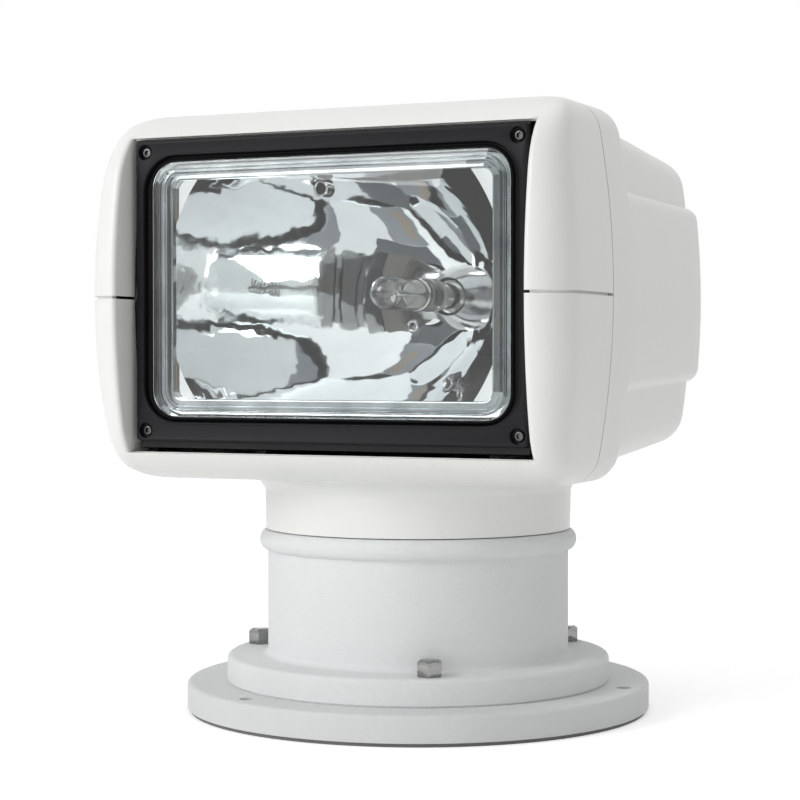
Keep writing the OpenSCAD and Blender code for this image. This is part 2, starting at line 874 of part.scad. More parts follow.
module pan_gear()
  color(brass)
    difference() {
      translate([0, 0, gear_bottom])
        linear_extrude(gear_t)
          polygon(gear_outline(pan_module, pan_teeth, 90));
      translate([0, 0, gear_bottom - 1])
        cylinder(h = gear_t + 2, r = shaft_r + fit_gap);
    }

module shaft_collar()
  color(steel)
    ring(collar_top - collar_t, collar_top, shaft_r + collar_w, shaft_r + fit_gap);

// Insulating sleeve with a contact ring for each brush
module slip_ring()
  color(brass)
    rotate_extrude()
      polygon(concat(
        [[shaft_r + fit_gap, ring_bottom]],
        [for (i = [0:ring_count - 1])
          let (low = ring_bottom + ring_pitch * i + (ring_pitch - ring_t) / 2)
          let (groove_r = ring_r - ring_groove)
          each [[groove_r, low - (ring_pitch - ring_t) / 2], [groove_r, low], [ring_r, low],
                [ring_r, low + ring_t], [groove_r, low + ring_t]]],
        [[ring_r - ring_groove, ring_bottom + ring_h], [shaft_r + fit_gap, ring_bottom + ring_h]]));

// Board on four spacers, with its larger parts
module control_board()
  color("#2f6b3f")
    translate([0, board_y, floor_top]) {
      for (x = [-1, 1], y = [-1, 1])
        translate([x * (board[0] / 2 - spacer_in), y * (board[1] / 2 - spacer_in), 0])
          cylinder(h = spacer_h, r = spacer_r);
      translate([-board[0] / 2, -board[1] / 2, spacer_h])
        cube(board);
      translate([0, 0, spacer_h + board[2]]) {
        for (at = capacitor_at)
          translate(at)
            cylinder(h = capacitor_h, r = capacitor_r);
        translate(relay_at)
          cube(relay);
        translate(plug_at)
          cube(plug);
        translate(driver_at)
          cube(driver);
      }
    }

// Folded strap that carries the lamp between its arms, the right arm long enough to hold the tilt motor
module lamp_yoke()
  color(steel)
    difference() {
      union() {
        translate([0, strap_back, 0])
          rotate([90, 0, 0])
            linear_extrude(strap_back - strap_front)
              yoke_outline();
        for (s = [0, 1])
          mirror([s, 0, 0])
            tilt_axis(arm_x)
              linear_extrude(arm_t)
                arm_outline();
        translate([arm_x, strap_front, lamp_z - post_z - post_r - post_land])
          cube([arm_t, post_y - strap_front + post_r + post_land, 2 * (post_z + post_r + post_land)]);
      }
      for (s = [-1, 1])
        tilt_axis(s > 0 ? arm_x - 1 : -arm_x - arm_t - 1)
          cylinder(h = arm_t + 2, r = bush_r + fit_gap);
      translate([arm_x - 1, tilt_motor_y, lamp_z])
        rotate([0, 90, 0])
          cylinder(h = arm_t + 2, r = drive_shaft_r + run_gap);
    }

// The forward-leaning top of an arm, seen from the right, about the tilt axis
module arm_outline() {
  circle(arm_half);
  polygon([
    [-arm_half * 0.8, -arm_half * 0.6], [strap_front - pivot_y, -arm_lean], [strap_back - pivot_y, -arm_lean],
    [strap_back - pivot_y, arm_half], [0, arm_half]]);
}

module yoke_outline() {
  low = head_bottom + shell_wall;
  foot = low + yoke_bend + yoke_bend_rise;
  inner_foot = low + yoke_bend + strap_t + 1;
  difference() {
    polygon([
      [-arm_x - arm_t, lamp_z], [-arm_x - arm_t, foot], [-arm_x + yoke_bend, low], [arm_x - yoke_bend, low],
      [arm_x + arm_t, foot], [arm_x + arm_t, lamp_z]]);
    polygon([
      [-arm_x, lamp_z + 1], [-arm_x, inner_foot], [-arm_x + yoke_bend, low + strap_t],
      [arm_x - yoke_bend, low + strap_t], [arm_x, inner_foot], [arm_x, lamp_z + 1]]);
  }
}

module tilt_bushes()
  color(brass)
    for (s = [0, 1])
      mirror([s, 0, 0])
        difference() {
          union() {
            tilt_axis(arm_x)
              cylinder(h = arm_t + bush_out, r = bush_r);
            tilt_axis(arm_x - bush_flange)
              cylinder(h = bush_flange, r = bush_r + bush_wall);
          }
          tilt_axis(arm_x - bush_flange - 1)
            cylinder(h = arm_t + bush_flange + 4, r = pin_r + run_gap);
        }

module tilt_motor_plate()
  color(steel)
    difference() {
      union() {
        translate([motor_plate_x, tilt_motor_y - motor_r, lamp_z - motor_plate_half])
          cube([motor_plate_t, post_y + post_r + plate_end - tilt_motor_y + motor_r, 2 * motor_plate_half]);
        for (s = [-1, 1])
          translate([motor_plate_x + motor_plate_t, post_y, lamp_z + s * post_z])
            rotate([0, 90, 0])
              cylinder(h = arm_x - motor_plate_x - motor_plate_t, r = post_r);
      }
      translate([motor_plate_x - 1, tilt_motor_y, lamp_z])
        rotate([0, 90, 0])
          cylinder(h = motor_plate_t + 2, r = drive_shaft_r + shaft_hole_gap);
    }

module tilt_motor()
  color(steel)
    translate([motor_plate_x, tilt_motor_y, lamp_z])
      rotate([0, 90, 0])
        motor_form();

module tilt_pinion()
  color(brass)
    translate([0, tilt_motor_y, lamp_z]) {
      translate([sector_x, 0, 0])
        rotate([90, 0, 90])
          linear_extrude(sector_t)
            polygon(gear_outline(tilt_module, pinion_teeth, 180 + 180 / pinion_teeth));
      translate([motor_plate_x - shaft_in, 0, 0])
        rotate([0, 90, 0])
          cylinder(h = arm_x + arm_t - motor_plate_x + shaft_in, r = drive_shaft_r);
    }

// Lamp

// The drum's outline about the tilt axis, a little larger below, where the opening leaves more room
module drum_outline(skin) {
  far = 2 * drum_r;
  intersection() {
    circle(drum_r - skin, $fn = 128);
    translate([-far, 0])
      square([2 * far, far]);
  }
  intersection() {
    circle(drum_low_r - skin, $fn = 128);
    translate([-far, -far])
      square([2 * far, far + eps]);
  }
}

// A moulded frame: a plate behind the bezel, drum skins above and below, and discs at its sides
module lamp_frame()
  color(black)
    difference() {
      intersection() {
        tilt_axis(-disc_x)
          linear_extrude(drum_w)
            drum_outline(0);
        union() {
          translate([-disc_x, frame_y, lamp_z - head_h])
            cube([drum_w, ledge_y + ledge_t - frame_y, 2 * head_h]);
          difference() {
            translate([-disc_x, frame_y, lamp_z - head_h])
              cube([drum_w, pivot_back + drum_wrap, 2 * head_h]);
            tilt_axis(-disc_x - 1)
              linear_extrude(drum_w + 2)
                drum_outline(drum_skin);
          }
          for (s = [0, 1])
            mirror([s, 0, 0])
              translate([disc_x - side_wall, frame_y, lamp_z - head_h])
                cube([side_wall, drum_r - disc_back, 2 * head_h]);
        }
      }
      lamp_axis(ledge_y)
        linear_extrude(drum_r)
          rounded_rect(glass_w + 2 * recess_gap, glass_h + 2 * recess_gap, glass_r);
      lamp_axis(ledge_y + ledge_t + 1)
        linear_extrude(drum_r)
          rounded_rect(bowl_w + 2 * bowl_room, bowl_h + 2 * bowl_room, bowl_r + reflector_wall);
      for (x = [-1, 1], z = [-1, 1])
        translate([x * screw_x, frame_y - 1, lamp_z + z * screw_z])
          rotate([-90, 0, 0])
            cylinder(h = screw_l + 2, r = screw_r + fit_gap);
      for (s = [0, 1])
        mirror([s, 0, 0])
          tilt_axis(disc_x - pin_in)
            cylinder(h = pin_in + 1, r = pin_r + fit_gap);
    }

module trunnion_pins()
  color(steel)
    for (s = [0, 1])
      mirror([s, 0, 0])
        tilt_axis(disc_x - pin_in)
          cylinder(h = arm_x + arm_t + pin_out - disc_x + pin_in, r = pin_r);

// A fan of teeth behind the lamp, fixed to the inside of the right side disc
module tilt_sector()
  color(brass)
    tilt_axis(sector_x)
      linear_extrude(sector_t)
        intersection() {
          polygon(gear_outline(tilt_module, tilt_teeth, 0));
          difference() {
            polygon([
              [sector_foot, -arm_half], [sector_neck, -sector_neck * tan(sector_half)],
              [2 * sector_r, -2 * sector_r * tan(sector_half)],
              [2 * sector_r, 2 * sector_r * tan(sector_half)],
              [sector_neck, sector_neck * tan(sector_half)], [sector_foot, arm_half]]);
            translate([sector_window_at, 0])
              circle(sector_window_r);
          }
        }

// A paraboloid with flat walls where the rectangular lens cuts it off
module bowl(grow) {
  steps = 14;
  deep = reflector_depth + grow;
  intersection() {
    translate([0, 0, -grow])
      rotate_extrude($fn = 96)
        polygon(concat(
          [for (i = [0:steps]) let (d = deep * pow(i / steps, 2)) [2 * sqrt(focal * d), d]],
          [[0, deep]]));
    translate([0, 0, -grow - 1])
      linear_extrude(deep + 1)
        rounded_rect(bowl_w + 2 * grow, bowl_h + 2 * grow, bowl_r + grow);
  }
}

// Beside the bulb, at the place of the screw that holds its cap
module boss_screw_place(z)
  rotate(boss_screw_turn)
    translate([0, -boss_screw_r, z])
      children();

module reflector()
  color(chrome)
    lamp_axis(vertex_y)
      difference() {
        union() {
          difference() {
            union() {
              bowl(reflector_wall);
              translate([0, 0, reflector_depth - rim_t])
                linear_extrude(rim_t)
                  rounded_rect(glass_w, glass_h, glass_r - recess_gap);
              translate([0, 0, -boss_l])
                cylinder(h = boss_l + boss_front, r = boss_r);
            }
            bowl(0);
          }
          boss_screw_place(-boss_l)
            cylinder(h = boss_l + pad_front, r = pad_r);
        }
        translate([0, 0, -boss_l - 1])
          cylinder(h = boss_l + boss_front + 2, r = bulb_hole_r);
        boss_screw_place(-boss_l - 1)
          cylinder(h = boss_l + pad_front + 2, r = screw_r + fit_gap);
      }

module lens_seal()
  color(rubber)
    lamp_axis(rim_y)
      linear_extrude(seal_t)
        difference() {
          rounded_rect(glass_w, glass_h, glass_r);
          rounded_rect(bowl_w, bowl_h, bowl_r);
        }

// Flat rim under the bezel, then a step up to the clear pane
module lens_glass()
  color("#dfe8ee", 0.4)
    lamp_axis(frame_y + glass_t) {
      linear_extrude(glass_t)
        rounded_rect(glass_w, glass_h, glass_r);
      translate([0, 0, glass_t])
        linear_extrude(pane_t)
          rounded_rect(window_w - 2 * pane_in, window_h - 2 * pane_in, pane_r);
    }

// The outline of the bezel's window, grown outwards
module window_edge(out)
  rounded_rect(window_w + 2 * out, window_h + 2 * out, window_r + out);

// A frame with a thin raised line, from which it slopes down to the glass
module bezel()
  color(charcoal)
    lamp_axis(frame_y)
      difference() {
        union() {
          linear_extrude(bezel_t - bezel_chamfer)
            rounded_rect(bezel_w, bezel_h, bezel_corner_r);
          linear_extrude(bezel_t - bezel_step)
            rounded_rect(bezel_w - 2 * bezel_step_in, bezel_h - 2 * bezel_step_in, bezel_corner_r);
          linear_extrude(bezel_t)
            window_edge(ridge_w);
        }
        translate([0, 0, -1])
          linear_extrude(bezel_t + 2)
            rounded_rect(window_w, window_h, window_r);
        hull() {
          translate([0, 0, slope_foot])
            linear_extrude(eps)
              rounded_rect(window_w, window_h, window_r);
          translate([0, 0, bezel_t])
            linear_extrude(1)
              window_edge(ridge_w - ridge_top);
        }
        for (x = [-1, 1], z = [-1, 1])
          translate([x * screw_x, z * screw_z, -1]) {
            cylinder(h = bezel_t + 2, r = screw_r + screw_hole_gap);
            translate([0, 0, 1 + bezel_t - bezel_step - screw_recess])
              cylinder(h = screw_recess + 2, r = screw_recess_r);
          }
      }

module bezel_screws()
  color(steel)
    for (x = [-1, 1], z = [-1, 1])
      lamp_axis(frame_y)
        translate([x * screw_x, z * screw_z, -screw_l]) {
          cylinder(h = screw_l + bezel_t - bezel_step - screw_recess, r = screw_r);
          translate([0, 0, screw_l + bezel_t - bezel_step - screw_recess])
            difference() {
              intersection() {
                cylinder(h = screw_head_t, r = screw_head_r);
                translate([0, 0, screw_head_t - screw_dome_r])
                  sphere(r = screw_dome_r);
              }
              translate([0, 0, screw_head_t - screw_socket])
                cylinder(h = screw_socket + 1, r = screw_socket_r, $fn = 6);
            }
        }

module bulb_glass()
  color("#eef3f6", 0.5)
    lamp_axis(vertex_y)
      rotate_extrude()
        polygon(concat(
          [[0, bulb_stem], [bulb_r, bulb_stem], [bulb_r, bulb_stem + bulb_l - bulb_r]],
          arc(0, bulb_stem + bulb_l - bulb_r, bulb_r, 15, 75, 4),
          [[0, bulb_stem + bulb_l]]));

module bulb_base()
  color(brass)
    lamp_axis(vertex_y)
      rotate_extrude()
        polygon([
          [0, -boss_l - flange_l], [bulb_hole_r + bulb_flange, -boss_l - flange_l],
          [bulb_hole_r + bulb_flange, -boss_l], [bulb_hole_r - fit_gap, -boss_l], [bulb_hole_r - fit_gap, 0],
          [stem_base_r, 1], [stem_base_r, stem_base_l], [stem_collar_r, stem_base_l],
          [stem_collar_r, bulb_stem], [0, bulb_stem]]);

// Cap that presses the bulb's flange against the reflector's boss
module bulb_retainer()
  color(steel)
    lamp_axis(vertex_y)
      difference() {
        rotate_extrude()
          polygon([
            [bulb_hole_r + retainer_lip, -boss_l - flange_l - retainer_t],
            [boss_r, -boss_l - flange_l - retainer_t], [boss_r, -boss_l],
            [bulb_hole_r + bulb_flange + fit_gap, -boss_l],
            [bulb_hole_r + bulb_flange + fit_gap, -boss_l - flange_l],
            [bulb_hole_r + retainer_lip, -boss_l - flange_l]]);
        boss_screw_place(-boss_l - flange_l - retainer_t - 1)
          cylinder(h = flange_l + retainer_t + 2, r = screw_r + fit_gap);
      }

module bulb_socket()
  color(black)
    lamp_axis(vertex_y)
      translate([0, 0, -boss_l - flange_l - socket_l]) {
        cylinder(h = socket_l, r = bulb_hole_r + socket_wall);
        translate([-lead_block[0] / 2, -bulb_hole_r - socket_wall - 3, lead_block_at])
          cube(lead_block);
      }

module reflector_screw()
  color(steel)
    lamp_axis(vertex_y) {
      boss_screw_place(-boss_l - flange_l - retainer_t - 2)
        cylinder(h = boss_l + flange_l + retainer_t + 2 + pad_front, r = screw_r);
      boss_screw_place(pad_front)
        cylinder(h = screw_head_t, r = screw_head_r);
    }

mounting_gasket();
base_plate();
cable_grommet();
pedestal();
pedestal_studs();
pedestal_nuts();
pan_bush();
pan_seal();
pan_motor();
pan_motor_screws();
brush_block();
brushes();
pan_pinion();
turntable();
lower_front_shell();
upper_front_shell();
rear_cover();
pan_shaft();
flange_screws();
pan_gear();
shaft_collar();
slip_ring();
control_board();
lamp_yoke();
tilt_bushes();
tilt_motor_plate();
tilt_motor();
tilt_pinion();
lamp_frame();
trunnion_pins();
tilt_sector();
reflector();
lens_seal();
lens_glass();
bezel();
bezel_screws();
bulb_glass();
bulb_base();
bulb_retainer();
bulb_socket();
reflector_screw();
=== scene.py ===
# %% [markdown]
# # A marine searchlight in a white studio
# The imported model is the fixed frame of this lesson: it gives every piece its place. We load it, keep its
# box, and build finer skins and finishes around it. Blender works in metres here, so `mm` turns the sizes of
# a drawing into them.

# %% Load the frame
from math import acos, asin, cos, pi, radians, sin, sqrt

import bpy
from mathutils import Matrix, Vector


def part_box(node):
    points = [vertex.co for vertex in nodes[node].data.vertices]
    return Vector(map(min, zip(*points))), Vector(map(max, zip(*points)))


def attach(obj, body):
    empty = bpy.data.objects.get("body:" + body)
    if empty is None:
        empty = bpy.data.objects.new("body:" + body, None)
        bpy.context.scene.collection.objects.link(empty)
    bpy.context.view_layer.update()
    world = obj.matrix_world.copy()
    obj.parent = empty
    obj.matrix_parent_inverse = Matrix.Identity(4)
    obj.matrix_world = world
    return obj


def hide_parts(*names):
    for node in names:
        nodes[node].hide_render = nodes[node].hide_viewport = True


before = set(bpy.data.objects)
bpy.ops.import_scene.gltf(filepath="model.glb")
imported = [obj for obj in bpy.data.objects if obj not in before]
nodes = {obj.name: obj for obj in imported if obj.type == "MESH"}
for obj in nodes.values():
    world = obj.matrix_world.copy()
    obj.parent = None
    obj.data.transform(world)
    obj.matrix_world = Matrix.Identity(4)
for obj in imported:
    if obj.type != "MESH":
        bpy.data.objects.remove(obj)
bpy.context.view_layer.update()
mm = 0.001


def deselect():
    """Deselects every object, so that an operator acts only on what comes next."""
    bpy.ops.object.select_all(action="DESELECT")


deselect()

# %% [markdown]
# ## Camera
# The photograph was taken from the right of the lamp, a little below the middle of the head. A long lens
# keeps the head's edges almost parallel. The camera could be placed by eye, but it stands on a circle round
# the pan axis, so one angle, one distance and one height place it, and each can be corrected alone. A small
# sideways shift sets the pan axis at its column of the picture.

# %% Place the camera
EYE_TURN = radians(24.516)
EYE_DISTANCE = 1130.8 * mm
EYE_HEIGHT = 188.8 * mm
LOOK_DOWN = radians(1.127)
PICTURE = 800
AXIS_X = 418.2
FOCAL_PIXELS = 2079.5
SENSOR = 36

camera_data = bpy.data.cameras.new("Camera")
camera_data.sensor_width = SENSOR
camera_data.lens = FOCAL_PIXELS / PICTURE * SENSOR
camera_data.shift_x = (PICTURE / 2 - AXIS_X) / PICTURE
camera_data.clip_end = 50
camera = bpy.data.objects.new("Camera", camera_data)
eye_x = EYE_DISTANCE * sin(EYE_TURN)
eye_y = -EYE_DISTANCE * cos(EYE_TURN)
camera.location = (eye_x, eye_y, EYE_HEIGHT)
camera.rotation_euler = (pi / 2 - LOOK_DOWN, 0, EYE_TURN)
bpy.context.scene.collection.objects.link(camera)
bpy.context.scene.camera = camera
print("camera:", round(camera_data.lens, 1), "mm lens at", [round(v, 3) for v in camera.location])

# %% [markdown]
# ## World
# The backdrop of the photograph is white, and white paint must still show its shading. One white world would
# wash it out. So the world has two strengths: white for rays that look at it, also through glass or by way of
# a mirror, and dimmer where it only sheds light.

# %% Light the world
WORLD_LIGHT = 0.455
WHITE = (1, 1, 1, 1)


def put(node, **values):
    """Sets a node's own sockets. Their names are written with _ for each space."""
    for socket, value in values.items():
        node.inputs[socket.replace("_", " ")].default_value = value


def add(tree, kind, **values):
    """A new shader node, with values on its own sockets."""
    node = tree.nodes.new("ShaderNode" + kind)
    put(node, **values)
    return node


def reckon(tree, kind, operation, *sources):
    """The outputs of a new maths node, with sources linked to its inputs."""
    node = add(tree, kind)
    node.operation = operation
    for source, socket in zip(sources, node.inputs):
        tree.links.new(source, socket)
    return node.outputs


def camera_or_mirror(tree):
    """A mask that is 1 for rays that look straight, through glass or by way of a mirror."""
    path = add(tree, "LightPath").outputs
    total = path["Is Camera Ray"]
    for ray in ("Is Glossy Ray", "Is Transmission Ray"):
        total = reckon(tree, "Math", "MAXIMUM", total, path[ray])[0]
    return total


world = bpy.data.worlds.new("Studio")
bpy.context.scene.world = world
world.use_nodes = True
sky = world.node_tree
sky.nodes.clear()
shed = add(sky, "Background", Color=WHITE, Strength=WORLD_LIGHT)
seen = add(sky, "Background", Color=WHITE, Strength=1)
choose = add(sky, "MixShader")
out = add(sky, "OutputWorld")
sky.links.new(camera_or_mirror(sky), choose.inputs[0])
sky.links.new(shed.outputs[0], choose.inputs[1])
sky.links.new(seen.outputs[0], choose.inputs[2])
sky.links.new(choose.outputs[0], out.inputs[0])
bpy.context.scene.view_settings.view_transform = "Standard"
print("world: strength", WORLD_LIGHT, "as a light, and white to look at")

# %% [markdown]
# ## Lamps
# Soft shadows come from large lamps. The key lamp stands on the left, high enough that the lens doesn't
# mirror it, and a weaker one hangs over the head. A small lamp near the floor stands for the light that a
# white table throws back on the chin, and neither the camera nor a mirror sees it.

# %% Hang the lamps
AIM = (0, 0, 0.18)


def soft_lamp(name, place, aim, size, power):
    """A square area lamp at place that faces aim."""
    data = bpy.data.lights.new(name, "AREA")
    data.size = size
    data.energy = power
    lamp = bpy.data.objects.new(name, data)
    lamp.location = place
    lamp.rotation_euler = (Vector(aim) - Vector(place)).to_track_quat("-Z", "Y").to_euler()
    bpy.context.scene.collection.objects.link(lamp)
    return lamp


soft_lamp("Key", (-1.25, -1.87, 1.2), AIM, 1.2, 22)
soft_lamp("Top", (0.15, 0.35, 2.3), AIM, 1.6, 11)
bounce = soft_lamp("Bounce", (0, -0.55, 0.02), (0, -0.35, 0.5), 0.6, 1.4)
bounce.visible_camera = False
bounce.visible_glossy = False
bounce.visible_transmission = False
print("lamps: key, top and bounce")

# %% [markdown]
# ## Floor
# A pale floor catches the contact shadow. Lit by the lamps alone it would be grey, so it also glows a little
# for rays that look at it. The glow is weaker near the base, which keeps the shadow there, and grows with the
# distance until the floor runs into the white world.

# %% Lay the floor
FLOOR_R = 9
FLOOR_BORDER = 7
FADE_START = 0.2
FADE_END = 1.5
NEAR_GLOW = 0.395
FAR_GLOW = 0.585


def open_edit(piece):
    """Makes a piece active and enters edit mode."""
    bpy.context.view_layer.objects.active = piece
    bpy.ops.object.mode_set(mode="EDIT")


def close_edit():
    """Leaves edit mode."""
    bpy.ops.object.mode_set(mode="OBJECT")


bpy.ops.mesh.primitive_circle_add(vertices=96, radius=FLOOR_R, fill_type="NGON")
floor = bpy.context.object
floor.name = "studio_floor"
open_edit(floor)
bpy.ops.mesh.inset(thickness=FLOOR_BORDER)
close_edit()
paint = bpy.data.materials.new("studio white")
paint.use_nodes = True
tree = paint.node_tree
shader = tree.nodes["Principled BSDF"]
put(shader, Base_Color=(0.93, 0.93, 0.93, 1), Roughness=0.9, Specular_IOR_Level=0, Emission_Color=WHITE)
spot = add(tree, "TexCoord").outputs["Object"]
far = reckon(tree, "VectorMath", "LENGTH", spot)
fade = add(tree, "MapRange", From_Min=FADE_START, From_Max=FADE_END, To_Min=NEAR_GLOW, To_Max=FAR_GLOW)
tree.links.new(far["Value"], fade.inputs["Value"])
glow = reckon(tree, "Math", "MULTIPLY", camera_or_mirror(tree), fade.outputs[0])
tree.links.new(glow[0], shader.inputs["Emission Strength"])
floor.data.materials.append(paint)
print("floor:", 2 * FLOOR_R, "m across")

# %% [markdown]
# ## Cards
# A mirror in an all-white room looks flat. In the photograph the reflector shows dark shapes from the dim
# side of the room, where the camera stood. A picture of a room could be wrapped round the scene, but a few
# grey cards are enough. Only mirrors and glass see them, so they take no light from the paint.

# %% Stand grey cards behind the camera
ROOM_GREY = (0.4, 0.415, 0.44)
TABLE_BROWN = (0.5, 0.42, 0.34)
DOOR_GREY = (0.18, 0.19, 0.205)


def grey_card(name, turn, distance, low, high, width, shade):
    """An upright card that faces the light from a direction round the pan axis, seen by mirrors only."""
    bpy.ops.mesh.primitive_grid_add(x_subdivisions=2, y_subdivisions=2, size=1)
    card = bpy.context.object
    card.name = name
    upright = Matrix.Rotation(pi / 2, 4, "X") @ Matrix.Diagonal((width, high - low, 1, 1))
    away = Matrix.Translation((0, -distance, (low + high) / 2))
    card.data.transform(Matrix.Rotation(radians(turn), 4, "Z") @ away @ upright)
    card.visible_camera = False
    card.visible_diffuse = False
    card.visible_shadow = False
    felt = bpy.data.materials.new(name)
    felt.use_nodes = True
    put(felt.node_tree.nodes["Principled BSDF"], Base_Color=(*shade, 1), Roughness=0.9)
    card.data.materials.append(felt)


grey_card("dim room", 38, 1.9, -0.05, 0.75, 1.5, ROOM_GREY)
grey_card("dim table", 30, 1.7, 0.12, 0.34, 0.5, TABLE_BROWN)
grey_card("dim door", 6, 2.2, 0.0, 1.1, 0.8, DOOR_GREY)
grey_card("dim ceiling", 20, 1.4, 1.25, 1.7, 2.2, ROOM_GREY)
print("cards: room, table, door and ceiling")

# %% [markdown]
# ## Finishes
# Every finish starts from two shared effects. *Moulded skin* gives the faint grain and cloudiness of paint
# and plastic; *drawn metal* gives the short scratches of turned or brushed parts. They are node groups, so
# each material places them with its own scale and sends the results to its own shader.

# %% Shared effects


def effect_group(name, inputs):
    """A node group with float inputs that puts out a height and a tone, and its two end nodes."""
    group = bpy.data.node_groups.new(name, "ShaderNodeTree")
    for socket, value in inputs.items():
        made = group.interface.new_socket(socket, in_out="INPUT", socket_type="NodeSocketFloat")
        made.default_value = value
    for socket in ("Height", "Tone"):
        group.interface.new_socket(socket, in_out="OUTPUT", socket_type="NodeSocketFloat")
    return group, group.nodes.new("NodeGroupInput"), group.nodes.new("NodeGroupOutput")


def noise(group, coordinates, scale, detail=3.0):
    """A noise texture on coordinates. scale is a socket or a number."""
    node = add(group, "TexNoise", Detail=detail)
    group.links.new(coordinates, node.inputs["Vector"])
    if isinstance(scale, (int, float)):
        node.inputs["Scale"].default_value = scale
    else:
        group.links.new(scale, node.inputs["Scale"])
    return node.outputs["Fac"]


skin, skin_in, skin_out = effect_group("Moulded skin", {"Grain": 900.0, "Cloud": 14.0})
skin_place = add(skin, "TexCoord").outputs["Object"]
grain = noise(skin, skin_place, skin_in.outputs["Grain"])
cloud = noise(skin, skin_place, skin_in.outputs["Cloud"], 4.0)
skin.links.new(grain, skin_out.inputs["Height"])
skin.links.new(cloud, skin_out.inputs["Tone"])

drawn, drawn_in, drawn_out = effect_group("Drawn metal", {"Fineness": 300.0, "Stretch": 0.06})
drawn_place = add(drawn, "TexCoord").outputs["Object"]
stretch = add(drawn, "CombineXYZ", X=1, Y=1)
drawn.links.new(drawn_in.outputs["Stretch"], stretch.inputs[2])
scaled = reckon(drawn, "VectorMath", "MULTIPLY", drawn_place, stretch.outputs[0])
scratches = noise(drawn, scaled[0], drawn_in.outputs["Fineness"], 5.0)
tarnish = noise(drawn, drawn_place, 40.0, 4.0)
drawn.links.new(scratches, drawn_out.inputs["Height"])
drawn.links.new(tarnish, drawn_out.inputs["Tone"])
print("effects:", skin.name, "and", drawn.name)

# %% [markdown]
# One function turns an effect into a finish: the tone moves between two near colours and two roughness
# values, and the height feeds a bump. What is the same all over the surface stays on the shader's own
# sockets, where an export can read it.

# %% Make a finish
TONE_LOW = 0.3
TONE_HIGH = 0.7


def finish(name, group, settings, colours, rough, bump, **plain):
    """A material whose colour, roughness and bump follow a shared effect."""
    made = bpy.data.materials.new(name)
    made.use_nodes = True
    tree = made.node_tree
    shader = tree.nodes["Principled BSDF"]
    effect = add(tree, "Group")
    effect.node_tree = group
    put(effect, **settings)
    ramp = add(tree, "ValToRGB")
    for element, position, colour in zip(ramp.color_ramp.elements, (TONE_LOW, TONE_HIGH), colours):
        element.position = position
        element.color = (*colour, 1)
    tree.links.new(effect.outputs["Tone"], ramp.inputs[0])
    tree.links.new(ramp.outputs[0], shader.inputs["Base Color"])
    spread = add(tree, "MapRange", From_Min=TONE_LOW, From_Max=TONE_HIGH, To_Min=rough[0], To_Max=rough[1])
    tree.links.new(effect.outputs["Tone"], spread.inputs["Value"])
    tree.links.new(spread.outputs[0], shader.inputs["Roughness"])
    relief = add(tree, "Bump", Strength=bump[0], Distance=bump[1])
    tree.links.new(effect.outputs["Height"], relief.inputs["Height"])
    tree.links.new(relief.outputs[0], shader.inputs["Normal"])
    put(shader, **plain)
    print("finish:", name)
    return made


def skin_finish(name, grain, cloud, *looks, **plain):
    """A finish with a moulded skin."""
    return finish(name, skin, {"Grain": grain, "Cloud": cloud}, *looks, **plain)


def metal_finish(name, fineness, stretch, *looks):
    """A finish of drawn metal."""
    return finish(name, drawn, {"Fineness": fineness, "Stretch": stretch}, *looks, Metallic=1)


print("ready to mix finishes")

# %% [markdown]
# The paint on the head is satin and smooth, and that on the pedestal and base is rougher, as on a casting.
# The bezel's charcoal hardly shines. Rubber, ceramic and circuit board are dull skins with more cloud.

# %% Mix the paints, plastics and rubbers
shell_white = skin_finish(
    "shell white", 700, 12, ((0.846, 0.856, 0.83), (0.87, 0.88, 0.855)), (0.32, 0.42), (0.3, 0.0005))
cast_white = skin_finish(
    "cast white", 1000, 20, ((0.795, 0.813, 0.812), (0.833, 0.851, 0.85)), (0.55, 0.66), (0.65, 0.0007),
    Specular_IOR_Level=0.35)
# The base plate's white is the cast white made darker, with the same grain and shine: painted shade.
shaded_base_white = skin_finish(
    "shaded base white", 1000, 20, ((0.735, 0.748, 0.746), (0.775, 0.788, 0.786)), (0.55, 0.66), (0.65, 0.0007),
    Specular_IOR_Level=0.35)
charcoal = skin_finish(
    "charcoal", 1600, 25, ((0.006, 0.0065, 0.0075), (0.009, 0.0095, 0.011)), (0.42, 0.52), (0.1, 0.0004),
    Specular_IOR_Level=0.2)
gloss_black = skin_finish(
    "gloss black", 300, 18, ((0.008, 0.008, 0.009), (0.013, 0.013, 0.014)), (0.14, 0.24), (0.03, 0.0004),
    Specular_IOR_Level=0.25)
dull_black = skin_finish(
    "dull black", 900, 30, ((0.004, 0.004, 0.0045), (0.006, 0.006, 0.0065)), (0.5, 0.6), (0.1, 0.0004),
    Specular_IOR_Level=0.15)
gasket_grey = skin_finish(
    "gasket grey", 1500, 30, ((0.15, 0.152, 0.147), (0.2, 0.202, 0.195)), (0.6, 0.75), (0.25, 0.0005))
rubber = skin_finish(
    "rubber", 1500, 30, ((0.045, 0.046, 0.047), (0.065, 0.066, 0.067)), (0.6, 0.75), (0.25, 0.0005))
board_green = skin_finish(
    "board green", 500, 60, ((0.02, 0.1, 0.04), (0.03, 0.14, 0.05)), (0.35, 0.5), (0.1, 0.0003))
ceramic = skin_finish(
    "ceramic", 1200, 60, ((0.6, 0.56, 0.5), (0.68, 0.64, 0.58)), (0.5, 0.65), (0.15, 0.0004))

# %% [markdown]
# Metals are drawn, with a metallic shader. The reflector's mirror is a coat on pressed metal, so it takes the
# moulded skin with a slow, wavy bump, which breaks up what it mirrors as in the photograph. The glass has
# almost no bump at all.

